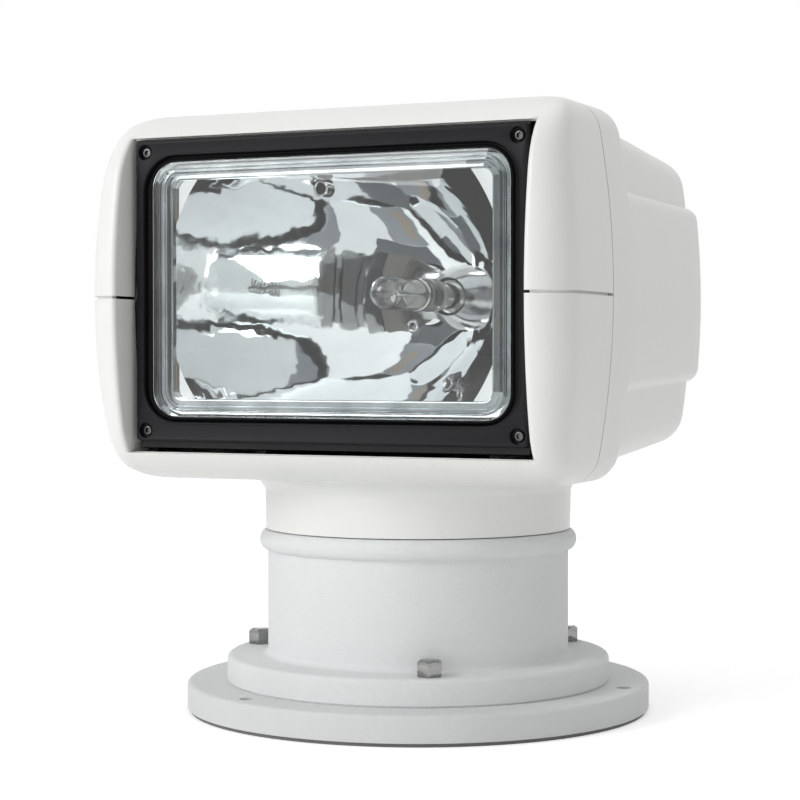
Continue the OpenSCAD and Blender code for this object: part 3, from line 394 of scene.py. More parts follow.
# %% Mix the metals, mirrors and glass
stainless = metal_finish(
    "stainless", 700, 0.1, ((0.62, 0.62, 0.61), (0.74, 0.74, 0.73)), (0.16, 0.28), (0.06, 0.0003))
steel = metal_finish(
    "plated steel", 400, 0.08, ((0.5, 0.5, 0.49), (0.6, 0.6, 0.58)), (0.28, 0.42), (0.1, 0.0003))
dark_steel = metal_finish(
    "dark steel", 500, 0.1, ((0.1, 0.1, 0.1), (0.16, 0.16, 0.16)), (0.25, 0.38), (0.08, 0.0003))
dark_chrome = metal_finish(
    "dark chrome", 600, 0.12, ((0.26, 0.26, 0.26), (0.38, 0.38, 0.37)), (0.1, 0.18), (0.08, 0.0003))
brass = metal_finish(
    "brass", 400, 0.08, ((0.55, 0.4, 0.16), (0.65, 0.48, 0.2)), (0.25, 0.38), (0.08, 0.0003))
mirror = skin_finish(
    "mirror coat", 22, 30, ((0.83, 0.85, 0.86), (0.89, 0.91, 0.92)), (0.02, 0.05), (0.12, 0.004), Metallic=1)
# The flange's coat is the mirror coat made darker: painted shade.
shaded_flange_coat = skin_finish(
    "shaded flange coat", 40, 60, ((0.22, 0.245, 0.255), (0.4, 0.43, 0.44)), (0.04, 0.1), (0.15, 0.003), Metallic=1)
glass = skin_finish(
    "clear glass", 60, 10, ((0.95, 0.97, 0.965), (0.97, 0.985, 0.98)), (0.0, 0.015), (0.015, 0.001),
    Transmission_Weight=1.0, IOR=1.5)

# %% [markdown]
# ## Dress the frame's own pieces
# Most inner pieces already have the right shape, so they keep it and only take a finish. The list goes by
# finish. Nodes that a finer piece replaces later are hidden then, so they stay bare.

# %% Finish each node
by_finish = {
    shell_white: ("turntable",),
    cast_white: ("pedestal",),
    shaded_base_white: ("base_plate",),
    gasket_grey: ("mounting_gasket",),
    rubber: ("cable_grommet", "pan_seal"),
    stainless: ("trunnion_pins",),
    steel: ("pan_motor", "pan_motor_screws", "pan_shaft", "flange_screws", "shaft_collar", "lamp_yoke",
            "tilt_motor_plate", "tilt_motor", "bulb_retainer"),
    brass: ("pan_bush", "brushes", "pan_pinion", "pan_gear", "slip_ring", "tilt_bushes", "tilt_pinion",
            "tilt_sector"),
    gloss_black: ("lamp_frame", "bulb_socket"),
    charcoal: ("brush_block",),
    board_green: ("control_board",),
}
for dressing, names in by_finish.items():
    for name in names:
        nodes[name].data.materials.clear()
        nodes[name].data.materials.append(dressing)
bare = set(nodes) - {name for names in by_finish.values() for name in names}
print("bare nodes:", sorted(bare))

# %% [markdown]
# ## The head's front mouldings
# The front of the head is two satin mouldings: soft barrel sides, a brow and a chin, and cheeks that roll
# forward to a crest and turn in beside the lamp. It could be a subdivided box, but its curves follow a few
# radii, so a flat grid is bent instead: each row is a level, and each column a place on the outline there.

# %% Sizes of the head
shell_low, shell_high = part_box("upper_front_shell")
HALF_W = shell_high.x
CREST_Y = shell_low.y
FRONT_SEAM_Y = shell_high.y
HEAD_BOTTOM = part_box("lower_front_shell")[0].z
HALF_H = (shell_high.z - HEAD_BOTTOM) / 2
HEAD_MID = (shell_high.z + HEAD_BOTTOM) / 2
GROOVE_TOP = shell_low.z - HEAD_MID
GROOVE_W = 1.5 * mm
GROOVE_DEPTH = 2.6 * mm
SIDE_R = 450 * mm
EDGE_R = 18 * mm
CREST_R = 330 * mm
BROW_R = 45 * mm
CHIN_R = 35 * mm
CHEEK_R = 21.5 * mm
CORNER_R = 10 * mm
LIP_H = 14.15 * mm
OPENING_X = HALF_W - CHEEK_R
OPENING_Z = HALF_H - LIP_H
SHELL_WALL = 3.5 * mm


def side_x(level):
    """Half the head's width at a level above its middle: the barrel side, then the rounded edge."""
    barrel_x = HALF_W - SIDE_R
    edge_z = HALF_H - EDGE_R
    if abs(level) <= edge_z * SIDE_R / (SIDE_R - EDGE_R):
        return barrel_x + sqrt(SIDE_R ** 2 - level ** 2)
    edge_x = barrel_x + sqrt((SIDE_R - EDGE_R) ** 2 - edge_z ** 2)
    return edge_x + sqrt(max(0, EDGE_R ** 2 - (abs(level) - edge_z) ** 2))


def front_y(level):
    """Where the front lies at a level: the long crest arc, then the brow or the chin."""
    radius = BROW_R if level > 0 else CHIN_R
    rise = HALF_H - radius
    lean = asin(rise / (CREST_R - radius))
    if abs(level) <= CREST_R * sin(lean):
        return CREST_Y + CREST_R - sqrt(CREST_R ** 2 - level ** 2)
    centre = CREST_Y + CREST_R - (CREST_R - radius) * cos(lean)
    return centre - sqrt(max(0, radius ** 2 - (abs(level) - rise) ** 2))


print("head:", round(2 * HALF_W / mm, 1), "mm wide, opening", round(2 * OPENING_X / mm, 1), "mm")

# %% [markdown]
# Bending takes three steps. A grid's points move to their places, the points that meet are welded, and the
# faces are turned outwards. Edges and faces to work on are then picked by their place, as one would by hand.

# %% Bend a grid, weld it, pick parts of it


def named(piece, name):
    """Names a piece and its mesh."""
    piece.name = name
    piece.data.name = name
    return piece


def bent_sheet(name, columns, rows, spot):
    """A grid whose points move to spot(column, row)."""
    bpy.ops.mesh.primitive_grid_add(x_subdivisions=columns, y_subdivisions=rows, size=2)
    piece = named(bpy.context.object, name)
    for point in piece.data.vertices:
        column = round((point.co.x + 1) / 2 * columns)
        row = round((point.co.y + 1) / 2 * rows)
        point.co = spot(column, row)
    return piece


def by_rows(spot, rows):
    """Makes a spot that takes the values of a row into one that takes its number."""
    return lambda column, row: spot(column, *rows[row])


def flip(piece):
    """Turns a piece's selected faces round."""
    open_edit(piece)
    bpy.ops.mesh.flip_normals()
    close_edit()


def face_out(piece, merge=0):
    """Merges points closer than merge, then turns all faces outwards."""
    open_edit(piece)
    bpy.ops.mesh.select_all(action="SELECT")
    if merge:
        bpy.ops.mesh.remove_doubles(threshold=merge)
    bpy.ops.mesh.normals_make_consistent(inside=False)
    close_edit()


def weld(piece, inside):
    """Merges double points, then turns the faces away from a point inside the piece."""
    face_out(piece, 0.01 * mm)
    outward = sum(face.area * (face.center - inside).dot(face.normal) for face in piece.data.polygons)
    if outward < 0:
        flip(piece)


def pick(piece, kind, wanted):
    """Selects the faces or edges that wanted says, and stays in edit mode."""
    open_edit(piece)
    bpy.ops.mesh.select_mode(type=kind)
    bpy.ops.mesh.select_all(action="DESELECT")
    close_edit()
    mesh = piece.data
    if kind == "FACE":
        for face in mesh.polygons:
            face.select = wanted(face.center)
    else:
        for edge in mesh.edges:
            ends = [mesh.vertices[i].co for i in edge.vertices]
            edge.select = all(wanted(end) for end in ends)
    open_edit(piece)


print("ready to bend, weld and pick")

# %% [markdown]
# Every piece ends the same way. Its modifiers are applied, it is shaded smooth up to an angle so that real
# edges stay crisp, and it is handed over: it gets its finish, and rides on the body that it moves with.

# %% Apply a tool, smooth a piece and hand it over


def apply_tool(piece, kind, **settings):
    """Adds a modifier with its settings and applies it."""
    tool = piece.modifiers.new(kind.title(), kind)
    for setting, value in settings.items():
        setattr(tool, setting, value)
    bpy.context.view_layer.objects.active = piece
    bpy.ops.object.modifier_apply(modifier=tool.name)


def select_only(*pieces):
    """Selects pieces and nothing else. The first one is active."""
    deselect()
    for piece in pieces:
        piece.select_set(True)
    bpy.context.view_layer.objects.active = pieces[0]


def smooth(piece, degrees):
    """Shades a piece smooth, with edges sharper than the angle kept crisp."""
    select_only(piece)
    bpy.ops.object.shade_smooth_by_angle(angle=radians(degrees))


def hand_over(piece, body, slot, dressing, *replaced, crisp=30):
    """Finishes a piece: its shading, its material, the body it rides on, and the nodes it stands for."""
    smooth(piece, crisp)
    piece.data.materials.clear()
    piece.data.materials.append(dressing)
    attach(piece, body)
    if replaced:
        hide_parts(*replaced)
    print(piece.name, "has", len(piece.data.polygons), "faces")


print("ready to hand pieces over")

# %% [markdown]
# Both front mouldings follow one outline, so one function gives a place on it. A row holds a level, the place
# of the front there, and an inset. The inset makes the narrow tongue that lies at the bottom of the groove
# between the two.

# %% Trace the front's outline
SIDE_STEPS = 5
ROUND_STEPS = 8
FRONT_STEPS = 6
HALF_STEPS = SIDE_STEPS + ROUND_STEPS + FRONT_STEPS


def front_spot(column, level, front, inset):
    """A place on the head's outline at one level: side, cheek and front, mirrored past the middle."""
    sign = 1 if column <= HALF_STEPS else -1
    step = min(column, 2 * HALF_STEPS - column)
    start = front_y(level)
    whole = min(max(side_x(level) - OPENING_X, CORNER_R), FRONT_SEAM_Y - start)
    radius = whole * (FRONT_SEAM_Y - front) / (FRONT_SEAM_Y - start) - 2 * inset
    wide = side_x(level) - inset
    near = front + inset
    if step <= SIDE_STEPS:
        x = wide
        along = FRONT_SEAM_Y + (start + whole - inset - FRONT_SEAM_Y) * step / SIDE_STEPS
        y = max(along, near + radius)
    elif step <= SIDE_STEPS + ROUND_STEPS:
        turn = pi / 2 * (step - SIDE_STEPS) / ROUND_STEPS
        x = wide - radius + radius * cos(turn)
        y = near + radius - radius * sin(turn)
    else:
        x = (wide - radius) * (1 - (step - SIDE_STEPS - ROUND_STEPS) / FRONT_STEPS)
        y = near
    return Vector((sign * x, y, HEAD_MID + level))


def even(first, last, count):
    """Values from first to last in equal steps."""
    return [first + (last - first) * i / count for i in range(count + 1)]


def lip_levels(radius, side):
    """Levels from the opening's edge to the flat top or bottom, close together where it curves most."""
    rise = HALF_H - radius
    start = asin((OPENING_Z - rise) / radius)
    return [side * (rise + radius * sin(turn)) for turn in even(start, pi / 2, 14)]


def front_rows(first, radius, side):
    """Rows of one moulding, from the groove to the seam across the flat top or bottom."""
    levels = even(first, side * OPENING_Z, 16)[:-1] + lip_levels(radius, side)
    rows = [(level, front_y(level), 0) for level in levels]
    flat = side * HALF_H
    return rows + [(flat, front, 0) for front in even(front_y(flat), FRONT_SEAM_Y, 5)[1:]]


print("outline:", 2 * HALF_STEPS, "columns")

# %% [markdown]
# A moulding is bent as a closed front first. Then its lamp opening is cut out by deleting faces, the
# opening's edges are extruded back so that the cheeks turn in, the crests are rounded with a bevel, and
# Solidify gives the skin its wall.

# %% Bend the front mouldings
NEAR = 0.1 * mm
FRONT_DEPTH = 40 * mm
CHEEK_WALL = 20 * mm
LIP_WALL = 4 * mm
CREST_BEVEL = 2.4 * mm
head_inside = Vector((0, FRONT_SEAM_Y, HEAD_MID))


def front_moulding(name, rows, side):
    """One front moulding: bent, opened for the lamp, turned in at the opening and given its wall."""
    front_end = FRONT_SEAM_Y - FRONT_DEPTH
    edge = side * OPENING_Z + HEAD_MID
    lip_y = front_y(side * OPENING_Z)

    def in_opening(at):
        return abs(at.x) < OPENING_X and at.y < front_end and abs(at.z - HEAD_MID) < OPENING_Z

    def on_cheek(at):
        beside = abs(abs(at.x) - OPENING_X) < NEAR and at.y < front_end
        return beside and abs(at.z - HEAD_MID) < OPENING_Z + NEAR

    def on_lip(at):
        level = abs(at.z - edge) < NEAR and abs(at.y - lip_y) < NEAR
        return level and abs(at.x) < OPENING_X + NEAR

    def on_crest(at):
        return on_cheek(at) and abs(at.y - front_y(at.z - HEAD_MID)) < GROOVE_DEPTH + NEAR

    piece = bent_sheet(name, 2 * HALF_STEPS, len(rows) - 1, by_rows(front_spot, rows))
    weld(piece, head_inside)
    pick(piece, "FACE", in_opening)
    bpy.ops.mesh.delete(type="FACE")
    close_edit()
    for wanted, depth in ((on_cheek, CHEEK_WALL), (on_lip, LIP_WALL)):
        pick(piece, "EDGE", wanted)
        bpy.ops.mesh.extrude_edges_move(TRANSFORM_OT_translate={"value": (0, depth, 0)})
        close_edit()
    pick(piece, "EDGE", on_crest)
    bpy.ops.mesh.bevel(offset=CREST_BEVEL, segments=4, affect="EDGES")
    close_edit()
    apply_tool(piece, "SOLIDIFY", thickness=SHELL_WALL, offset=-1)
    return piece


upper = front_moulding("upper_front_moulding", front_rows(GROOVE_TOP, BROW_R, 1), 1)
hand_over(upper, "head", "shell_white", shell_white, "upper_front_shell", crisp=35)

seat = GROOVE_TOP - GROOVE_W
tongue = [(GROOVE_TOP, front_y(GROOVE_TOP), GROOVE_DEPTH), (seat, front_y(seat), GROOVE_DEPTH)]
lower = front_moulding("lower_front_moulding", tongue + front_rows(seat, CHIN_R, -1), -1)

# %% [markdown]
# The lower moulding is open underneath, where the turntable's neck comes up. Its grid has no round row to
# delete, so a plain cylinder cuts the hole with a Boolean. The cutter is deleted when it has done its work.

# %% Cut the neck's hole
NECK_RIM_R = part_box("turntable")[1].x
NECK_GAP = 0.4 * mm
HOLE_DEPTH = 20 * mm


def round_cutter(radius, centre, depth, axis="Z", sides=128):
    """A cylinder to cut or cross other pieces with."""
    turn = {"X": (0, pi / 2, 0), "Y": (pi / 2, 0, 0), "Z": (0, 0, 0)}[axis]
    bpy.ops.mesh.primitive_cylinder_add(vertices=sides, radius=radius, depth=depth, location=centre,
                                        rotation=turn)
    bpy.ops.object.transform_apply(location=True, rotation=True, scale=True)
    return bpy.context.object


def cut(piece, cutter, operation="DIFFERENCE"):
    """Applies a Boolean with a cutter, then deletes the cutter."""
    apply_tool(piece, "BOOLEAN", object=cutter, operation=operation, solver="EXACT", use_self=True)
    bpy.data.objects.remove(cutter)


cut(lower, round_cutter(NECK_RIM_R + NECK_GAP, (0, 0, HEAD_BOTTOM), HOLE_DEPTH))
hand_over(lower, "head", "shell_white", shell_white, "lower_front_shell", crisp=35)

# %% [markdown]
# ## The rear cover
# The rear cover carries the front's outline on for a short shoulder, steps in, and tapers to a rounded back.
# A belt along each side stays flush with the shoulder. Again a grid is bent: rows run from front to back, and
# columns run round the outline, with a few of them held on the belt's edge so that the step stays crisp.

# %% Trace the rear cover's outline
SEAM = 0.6 * mm
REAR_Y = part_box("rear_cover")[1].y
REAR_SEAM_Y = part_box("rear_cover")[0].y + SEAM
SHOULDER_Y = -30 * mm
STEP = 6 * mm
BELT_TOP = 53 * mm
BELT_BOTTOM = 50.5 * mm
BELT_EDGE_R = 7 * mm
BELT_RISE = 0.035
REAR_R = 20 * mm
SIDE_TAPER = 0.055
TOP_TAPER = 0.06
BELT_STEPS = 4
LEDGE_STEPS = 4
WALL_STEPS = 3
EDGE_STEPS = 8
TOP_STEPS = 5
QUARTER_STEPS = BELT_STEPS + LEDGE_STEPS + WALL_STEPS + EDGE_STEPS + TOP_STEPS


def sag(level):
    """How far the barrel side has curved in at a level."""
    return SIDE_R - sqrt(SIDE_R ** 2 - level ** 2)


def rear_quarter(k, y, drop, half):
    """Point k of a quarter of the outline at y, from the middle of the side to the middle of the top."""
    taper = max(0, y - SHOULDER_Y)
    round_y = REAR_Y - REAR_R
    back = 0 if y <= round_y else REAR_R - sqrt(max(0, REAR_R ** 2 - (y - round_y) ** 2))
    belt_x = HALF_W - SIDE_TAPER * taper - back
    core_x = belt_x - drop
    top = HALF_H - drop - TOP_TAPER * taper - back
    belt = half - back
    edge_z = top - EDGE_R
    edge_x = core_x - SIDE_R + sqrt((SIDE_R - EDGE_R) ** 2 - edge_z ** 2)
    ledge_z = belt - BELT_EDGE_R
    ledge = acos(max(0, 1 - drop / BELT_EDGE_R))
    if k <= BELT_STEPS:
        z = ledge_z * k / BELT_STEPS
        return belt_x - sag(z), z
    k -= BELT_STEPS
    if k <= LEDGE_STEPS:
        turn = ledge * k / LEDGE_STEPS
        z = ledge_z + BELT_EDGE_R * (sin(turn) if drop else k / LEDGE_STEPS)
        return belt_x - sag(z) - BELT_EDGE_R * (1 - cos(turn)), z
    k -= LEDGE_STEPS
    ledge_top = ledge_z + BELT_EDGE_R * (sin(ledge) if drop else 1)
    tangent = edge_z * SIDE_R / (SIDE_R - EDGE_R)
    if k <= WALL_STEPS:
        z = ledge_top + (tangent - ledge_top) * k / WALL_STEPS
        return core_x - sag(z), z
    k -= WALL_STEPS
    if k <= EDGE_STEPS:
        start = asin(min(1, tangent / SIDE_R))
        turn = start + (pi / 2 - start) * k / EDGE_STEPS
        return edge_x + EDGE_R * cos(turn), edge_z + EDGE_R * sin(turn)
    k -= EDGE_STEPS
    return edge_x * (1 - k / TOP_STEPS), top


def rear_spot(column, y, drop):
    """A place on the whole outline at y, going round from the right side over the top."""
    quadrant, k = divmod(column % (4 * QUARTER_STEPS), QUARTER_STEPS)
    half = BELT_TOP if quadrant < 2 else BELT_BOTTOM - BELT_RISE * max(0, y - SHOULDER_Y)
    x, z = rear_quarter(k if quadrant % 2 == 0 else QUARTER_STEPS - k, y, drop, half)
    return Vector((x if quadrant in (0, 3) else -x, y, HEAD_MID + (z if quadrant < 2 else -z)))


print("rear outline:", 4 * QUARTER_STEPS, "columns")

# %% [markdown]
# The rows are close together over the step and round the back's edge, where the light turns fast, and far
# apart on the long sides. The last row is a flat outline, so one face closes the back.

# %% Bend the rear cover


def step_rows():
    """Rows over the step: a rounded edge, then a hollow one at its foot."""
    half = STEP / 2
    turns = even(0, pi / 2, 4)
    outer = [(SHOULDER_Y - half + half * sin(turn), half * (1 - cos(turn))) for turn in turns]
    inner = [(SHOULDER_Y + half - half * cos(turn), half + half * sin(turn)) for turn in turns]
    return outer + inner[1:]


rows = [(y, 0) for y in even(REAR_SEAM_Y, SHOULDER_Y - STEP / 2, 3)[:-1]] + step_rows()
rows += [(y, STEP) for y in even(SHOULDER_Y + STEP / 2, REAR_Y - REAR_R, 8)[1:]]
rows += [(REAR_Y - REAR_R + REAR_R * sin(turn), STEP) for turn in even(0, pi / 2, 10)[1:]]
rear = bent_sheet("rear_moulding", 4 * QUARTER_STEPS, len(rows) - 1, by_rows(rear_spot, rows))
weld(rear, Vector((0, 0, HEAD_MID)))
pick(rear, "EDGE", lambda at: at.y > REAR_Y - 0.01 * mm)
bpy.ops.mesh.edge_face_add()
close_edit()
weld(rear, Vector((0, 0, HEAD_MID)))
apply_tool(rear, "SOLIDIFY", thickness=SHELL_WALL, offset=-1)
cut(rear, round_cutter(NECK_RIM_R + NECK_GAP, (0, 0, HEAD_BOTTOM), HOLE_DEPTH))
hand_over(rear, "head", "shell_white", shell_white, "rear_cover", crisp=35)

# %% [markdown]
# ## The bezel
# The bezel is a flat charcoal frame with a thin raised line round its opening and a dark wall down to the
# glass. Its section is the same all round, so a grid is bent once more: columns go round a rounded rectangle,
# and rows cross the section. The opening sits a little high in the frame, so each shape has its own middle.

# %% Bend rounded frames
ARC_STEPS = 8
RECT_STEPS = 4 * (ARC_STEPS + 1)
LEAST_R = 0.5 * mm
FACE_SET = 0.4
bezel_low, bezel_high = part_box("bezel")
LAMP_Z = (bezel_low.z + bezel_high.z) / 2
BEZEL_Y = bezel_low.y
FRAME_Y = bezel_high.y
BEZEL = (bezel_high.x - bezel_low.x, bezel_high.z - bezel_low.z, 2.5 * mm, LAMP_Z)
OPENING = (207.4 * mm, 136 * mm, 18 * mm, LAMP_Z + 1.2 * mm)


def rect_spot(column, width, height, radius, middle, y):
    """A place on a rounded rectangle, going round from its right side."""
    corner, step = divmod(column % RECT_STEPS, ARC_STEPS + 1)
    turn = pi / 2 * (corner + step / ARC_STEPS)
    x = (width / 2 - radius) * (1 if corner in (0, 3) else -1) + radius * cos(turn)
    z = (height / 2 - radius) * (1 if corner in (0, 1) else -1) + radius * sin(turn)
    return Vector((x, y, middle + z))


def grown(shape, section, start):
    """Sections of a frame: the shape grown outwards and set behind start, both in mm."""
    width, height, radius, middle = shape
    made = []
    for out, deep in section:
        corner_r = max(radius + out * mm, LEAST_R)
        made.append((width + 2 * out * mm, height + 2 * out * mm, corner_r, middle, start + deep * mm))
    return made


def bent_frame(name, sections):
    """A sheet through rounded rectangles, closed round the lamp's axis."""
    piece = bent_sheet(name, RECT_STEPS, len(sections) - 1, by_rows(rect_spot, sections))
    weld(piece, Vector((0, FRAME_Y + 1, LAMP_Z)))
    return piece


sections = grown(BEZEL, [(0, 4), (0, 1), (-0.3, 0.6), (-0.8, FACE_SET)], BEZEL_Y)
line = [(1.3, FACE_SET), (1, 0.12), (0.5, 0.12), (0.1, 0.5), (0, 1.2), (0, 4)]
sections += grown(OPENING, line, BEZEL_Y)
sections.append(sections[0])
bezel = bent_frame("bezel_frame", sections)
face_out(bezel)
print("bezel frame:", len(bezel.data.polygons), "faces before its wells are cut")

# %% [markdown]
# Each corner has a round well for a screw. The wells are cut, not bent, since they cross the frame's columns.
# A fine bevel then breaks all sharp edges, so that they catch a thin line of light.

# %% Cut the screw wells
SCREW_X = BEZEL[0] / 2 - 5.45 * mm
SCREW_Z = BEZEL[1] / 2 - 5.6 * mm
WELL_R = 4 * mm
WELL_DEPTH = 3.4 * mm
WELL_CUT = 10 * mm
screw_places = [(x, LAMP_Z + z) for x in (-SCREW_X, SCREW_X) for z in (-SCREW_Z, SCREW_Z)]
well_floor = BEZEL_Y + FACE_SET * mm + WELL_DEPTH
for x, z in screw_places:
    cut(bezel, round_cutter(WELL_R, (x, well_floor - WELL_CUT / 2, z), WELL_CUT, "Y", 32))
apply_tool(bezel, "BEVEL", width=0.15 * mm, segments=2, limit_method="ANGLE", angle_limit=radians(50))
hand_over(bezel, "lamp", "charcoal", charcoal, "bezel", crisp=40)

# %% [markdown]
# ## The bezel's screws
# Each screw is a small dark button head with a hexagonal socket. It could be spun, but the socket has six
# sides, so a cylinder is rounded with a bevel and the socket is cut. One screw is copied to the four wells.

# %% Model one screw and copy it
HEAD_R = 2.5 * mm
HEAD_T = 1.6 * mm
SOCKET_R = 1.6 * mm
SOCKET_DEPTH = 1.5 * mm
SHANK = 8 * mm


def join(pieces, name):
    """Joins pieces into one."""
    select_only(*pieces)
    bpy.ops.object.join()
    return named(pieces[0], name)


def copies(piece, offsets):
    """Copies of a piece, each with its own mesh, moved by the offsets."""
    made = []
    for offset in offsets:
        twin = piece.copy()
        twin.data = piece.data.copy()
        for point in twin.data.vertices:
            point.co += Vector(offset)
        bpy.context.scene.collection.objects.link(twin)
        made.append(twin)
    bpy.data.objects.remove(piece)
    return made


def socket_screw(floor_y):
    """A button head facing -Y on the floor of a well at x 0, z 0, with a hexagonal socket and a shank."""
    head = round_cutter(HEAD_R, (0, floor_y - HEAD_T / 2, 0), HEAD_T, "Y", 36)
    pick(head, "EDGE", lambda at: at.y < floor_y - 0.9 * HEAD_T)
    bpy.ops.mesh.bevel(offset=0.4 * HEAD_T, segments=4, affect="EDGES")
    close_edit()
    cut(head, round_cutter(SOCKET_R, (0, floor_y - HEAD_T, 0), 2 * SOCKET_DEPTH, "Y", 6))
    shank = round_cutter(0.55 * HEAD_R, (0, floor_y + SHANK / 2, 0), SHANK, "Y", 24)
    pick(shank, "EDGE", lambda at: at.y > floor_y + 0.9 * SHANK)
    bpy.ops.mesh.bevel(offset=0.4 * mm, segments=2, affect="EDGES")
    close_edit()
    return join([head, shank], "screw")


screw = socket_screw(well_floor)
screws = join(copies(screw, [(x, 0, z) for x, z in screw_places]), "bezel_screw_set")
hand_over(screws, "lamp", "stainless", dark_steel, "bezel_screws")

# %% [markdown]
# ## The lens and its gasket
# The lens is one pressed glass: a rounded edge, a low step and a clear pane, level with the bezel's face. A
# single sheet would look clear too, but it wouldn't bend the light. So it is a closed solid: a bent frame for
# its rim, and one face each to close its front and its back. A dull black gasket fills the channel round it
# and ends in a lip against the glass.

# %% Press the lens and its gasket
GLASS = (198.4 * mm, 130.4 * mm, 13.5 * mm, LAMP_Z + 0.9 * mm)
GLASS_Y = BEZEL_Y
GLASS_T = 5.2
PANE_T = GLASS_T - 0.6
front = [(-5.4, 0), (-4.6, 0.05), (-4.1, 0.3), (-3.7, 0.75), (-3.1, 0.95), (-0.9, 1), (-0.35, 1.2), (0, 1.9)]
back = [(0, GLASS_T - 0.5), (-0.5, GLASS_T), (-3.8, GLASS_T), (-4.3, GLASS_T - 0.5), (-5.4, PANE_T)]
lens = bent_frame("lens_pane", grown(GLASS, front + back, GLASS_Y))
for face_y in (GLASS_Y, GLASS_Y + PANE_T * mm):
    pick(lens, "EDGE", lambda at: abs(at.y - face_y) < 0.001 * mm)
    bpy.ops.mesh.edge_face_add()
    close_edit()
face_out(lens)
hand_over(lens, "lamp", "clear_glass", glass, "lens_glass", crisp=40)

channel = grown(OPENING, [(-0.1, 7), (-0.1, 3.2), (-0.6, 2.9)], BEZEL_Y)
gasket_lip = [(1.9, 2.9), (1.5, 2.4), (1.2, 1.5), (0.7, 1.2), (0.3, 1.4), (0.1, 2), (0.1, 7)]
channel += grown(GLASS, gasket_lip, BEZEL_Y)
channel.append(channel[0])
gasket = bent_frame("lens_gasket", channel)
face_out(gasket)
hand_over(gasket, "lamp", "rubber", dull_black, "lens_seal", crisp=50)

# %% [markdown]
# ## The reflector
# The reflector is a deep round dish. Flat walls cut it off above and below, and flat corners lie outside its
# circle. A spun dish would need cutting and filling, so a grid is bent: its rows first spread from the bulb's
# hole over the dish, and then run along a wall to the rim, or across a corner to its edge.

# %% Bend the dish
RIM_Y = GLASS_Y + 9 * mm
VERTEX_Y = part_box("bulb_retainer")[1].y - 13.5 * mm
DISH_R = 95 * mm
DISH_WALL = 1.2 * mm
FOCAL = DISH_R ** 2 / (4 * (VERTEX_Y - RIM_Y))
BOWL_W = 194 * mm
BOWL_H = 122 * mm
BOWL_R = 8 * mm
BOWL_RISE = GLASS[3] - LAMP_Z
BULB_HOLE_R = 11 * mm
WALL_RUN = 24
BOWL_STEPS = 4 * (WALL_RUN + ARC_STEPS)
DISH_ROWS = 34
WALL_ROWS = 8


def bowl_edge(column):
    """A place on the bowl's rounded rectangle, with points along its straight sides too."""
    side, step = divmod(column % BOWL_STEPS, WALL_RUN + ARC_STEPS)
    x0 = BOWL_W / 2 - BOWL_R
    z0 = BOWL_H / 2 - BOWL_R
    corners = [(x0, z0), (-x0, z0), (-x0, -z0), (x0, -z0), (x0, z0)]
    turn = pi / 2 * (side + min(1, step / ARC_STEPS))
    along = max(0, step - ARC_STEPS) / WALL_RUN
    here = corners[side]
    there = corners[side + 1]
    x = here[0] + (there[0] - here[0]) * along + BOWL_R * cos(turn)
    z = here[1] + (there[1] - here[1]) * along + BOWL_R * sin(turn)
    return Vector((x, 0, z + BOWL_RISE))


def bowl_spot(column, row):
    """A place on the dish, then on the wall or corner."""
    edge = bowl_edge(column)
    dish_end = edge * min(1, DISH_R / edge.length)
    end_y = VERTEX_Y - dish_end.length_squared / (4 * FOCAL)
    if row <= DISH_ROWS:
        spot = (edge.normalized() * BULB_HOLE_R).lerp(dish_end, row / DISH_ROWS)
        y = VERTEX_Y - spot.length_squared / (4 * FOCAL)
    else:
        share = (row - DISH_ROWS) / WALL_ROWS
        spot = dish_end.lerp(edge, share)
        y = end_y + (RIM_Y - end_y) * share
    return Vector((spot.x, y, LAMP_Z + spot.z))


dish = bent_sheet("reflector_bowl", BOWL_STEPS, DISH_ROWS + WALL_ROWS, bowl_spot)
weld(dish, Vector((0, RIM_Y, LAMP_Z)))
flip(dish)
apply_tool(dish, "SOLIDIFY", thickness=DISH_WALL, offset=-1)
hand_over(dish, "lamp", "mirror_coat", mirror, "reflector")

# %% [markdown]
# A ridged flange in front of the dish frames what the lens shows of it. The photograph shows it darker than
# the dish, so it takes the mirror coat made darker, as painted shade. Seen in the dish, its dark back would
# spoil the mirror, so a thin bright lip covers it.

# %% Bend the flange and its lip
MOUTH = (177 * mm, 112 * mm, 5 * mm, GLASS[3])
FLANGE_Y = GLASS_Y + 5.8 * mm
REACH = 10.6
ridges = [(0, 3), (0, 0.4), (0.3, 0.1), (0.8, 0), (3.4, 1), (3.9, 0.2), (4.4, 0.2), (4.8, 1), (5.4, 0.1)]
ridges += [(5.9, 0.1), (6.3, 0.9), (REACH, -0.3), (REACH, 3), (0, 3)]
flange = bent_frame("reflector_flange", grown(MOUTH, ridges, FLANGE_Y))
face_out(flange)
hand_over(flange, "lamp", "mirror_coat", shaded_flange_coat)
backing = [(0, 3.02), (REACH, 3.02), (REACH, 3.16), (0, 3.16), (0, 3.02)]
lip = bent_frame("reflector_lip", grown(MOUTH, backing, FLANGE_Y))
face_out(lip)
hand_over(lip, "lamp", "mirror_coat", mirror)

# %% [markdown]
# ## The bulb
# The bulb is a clear quartz capsule on a ridged dark collar. A short ceramic ring joins it to a bright tube,
# which passes through the dish's hole. Turned pieces like these could be stacked cylinders, but one point
# that is drawn along half a section and spun round the lamp's axis gives all their edges at once.

# %% Spin a piece
ALONG = (0, 1, 0)
UP = (0, 0, 1)


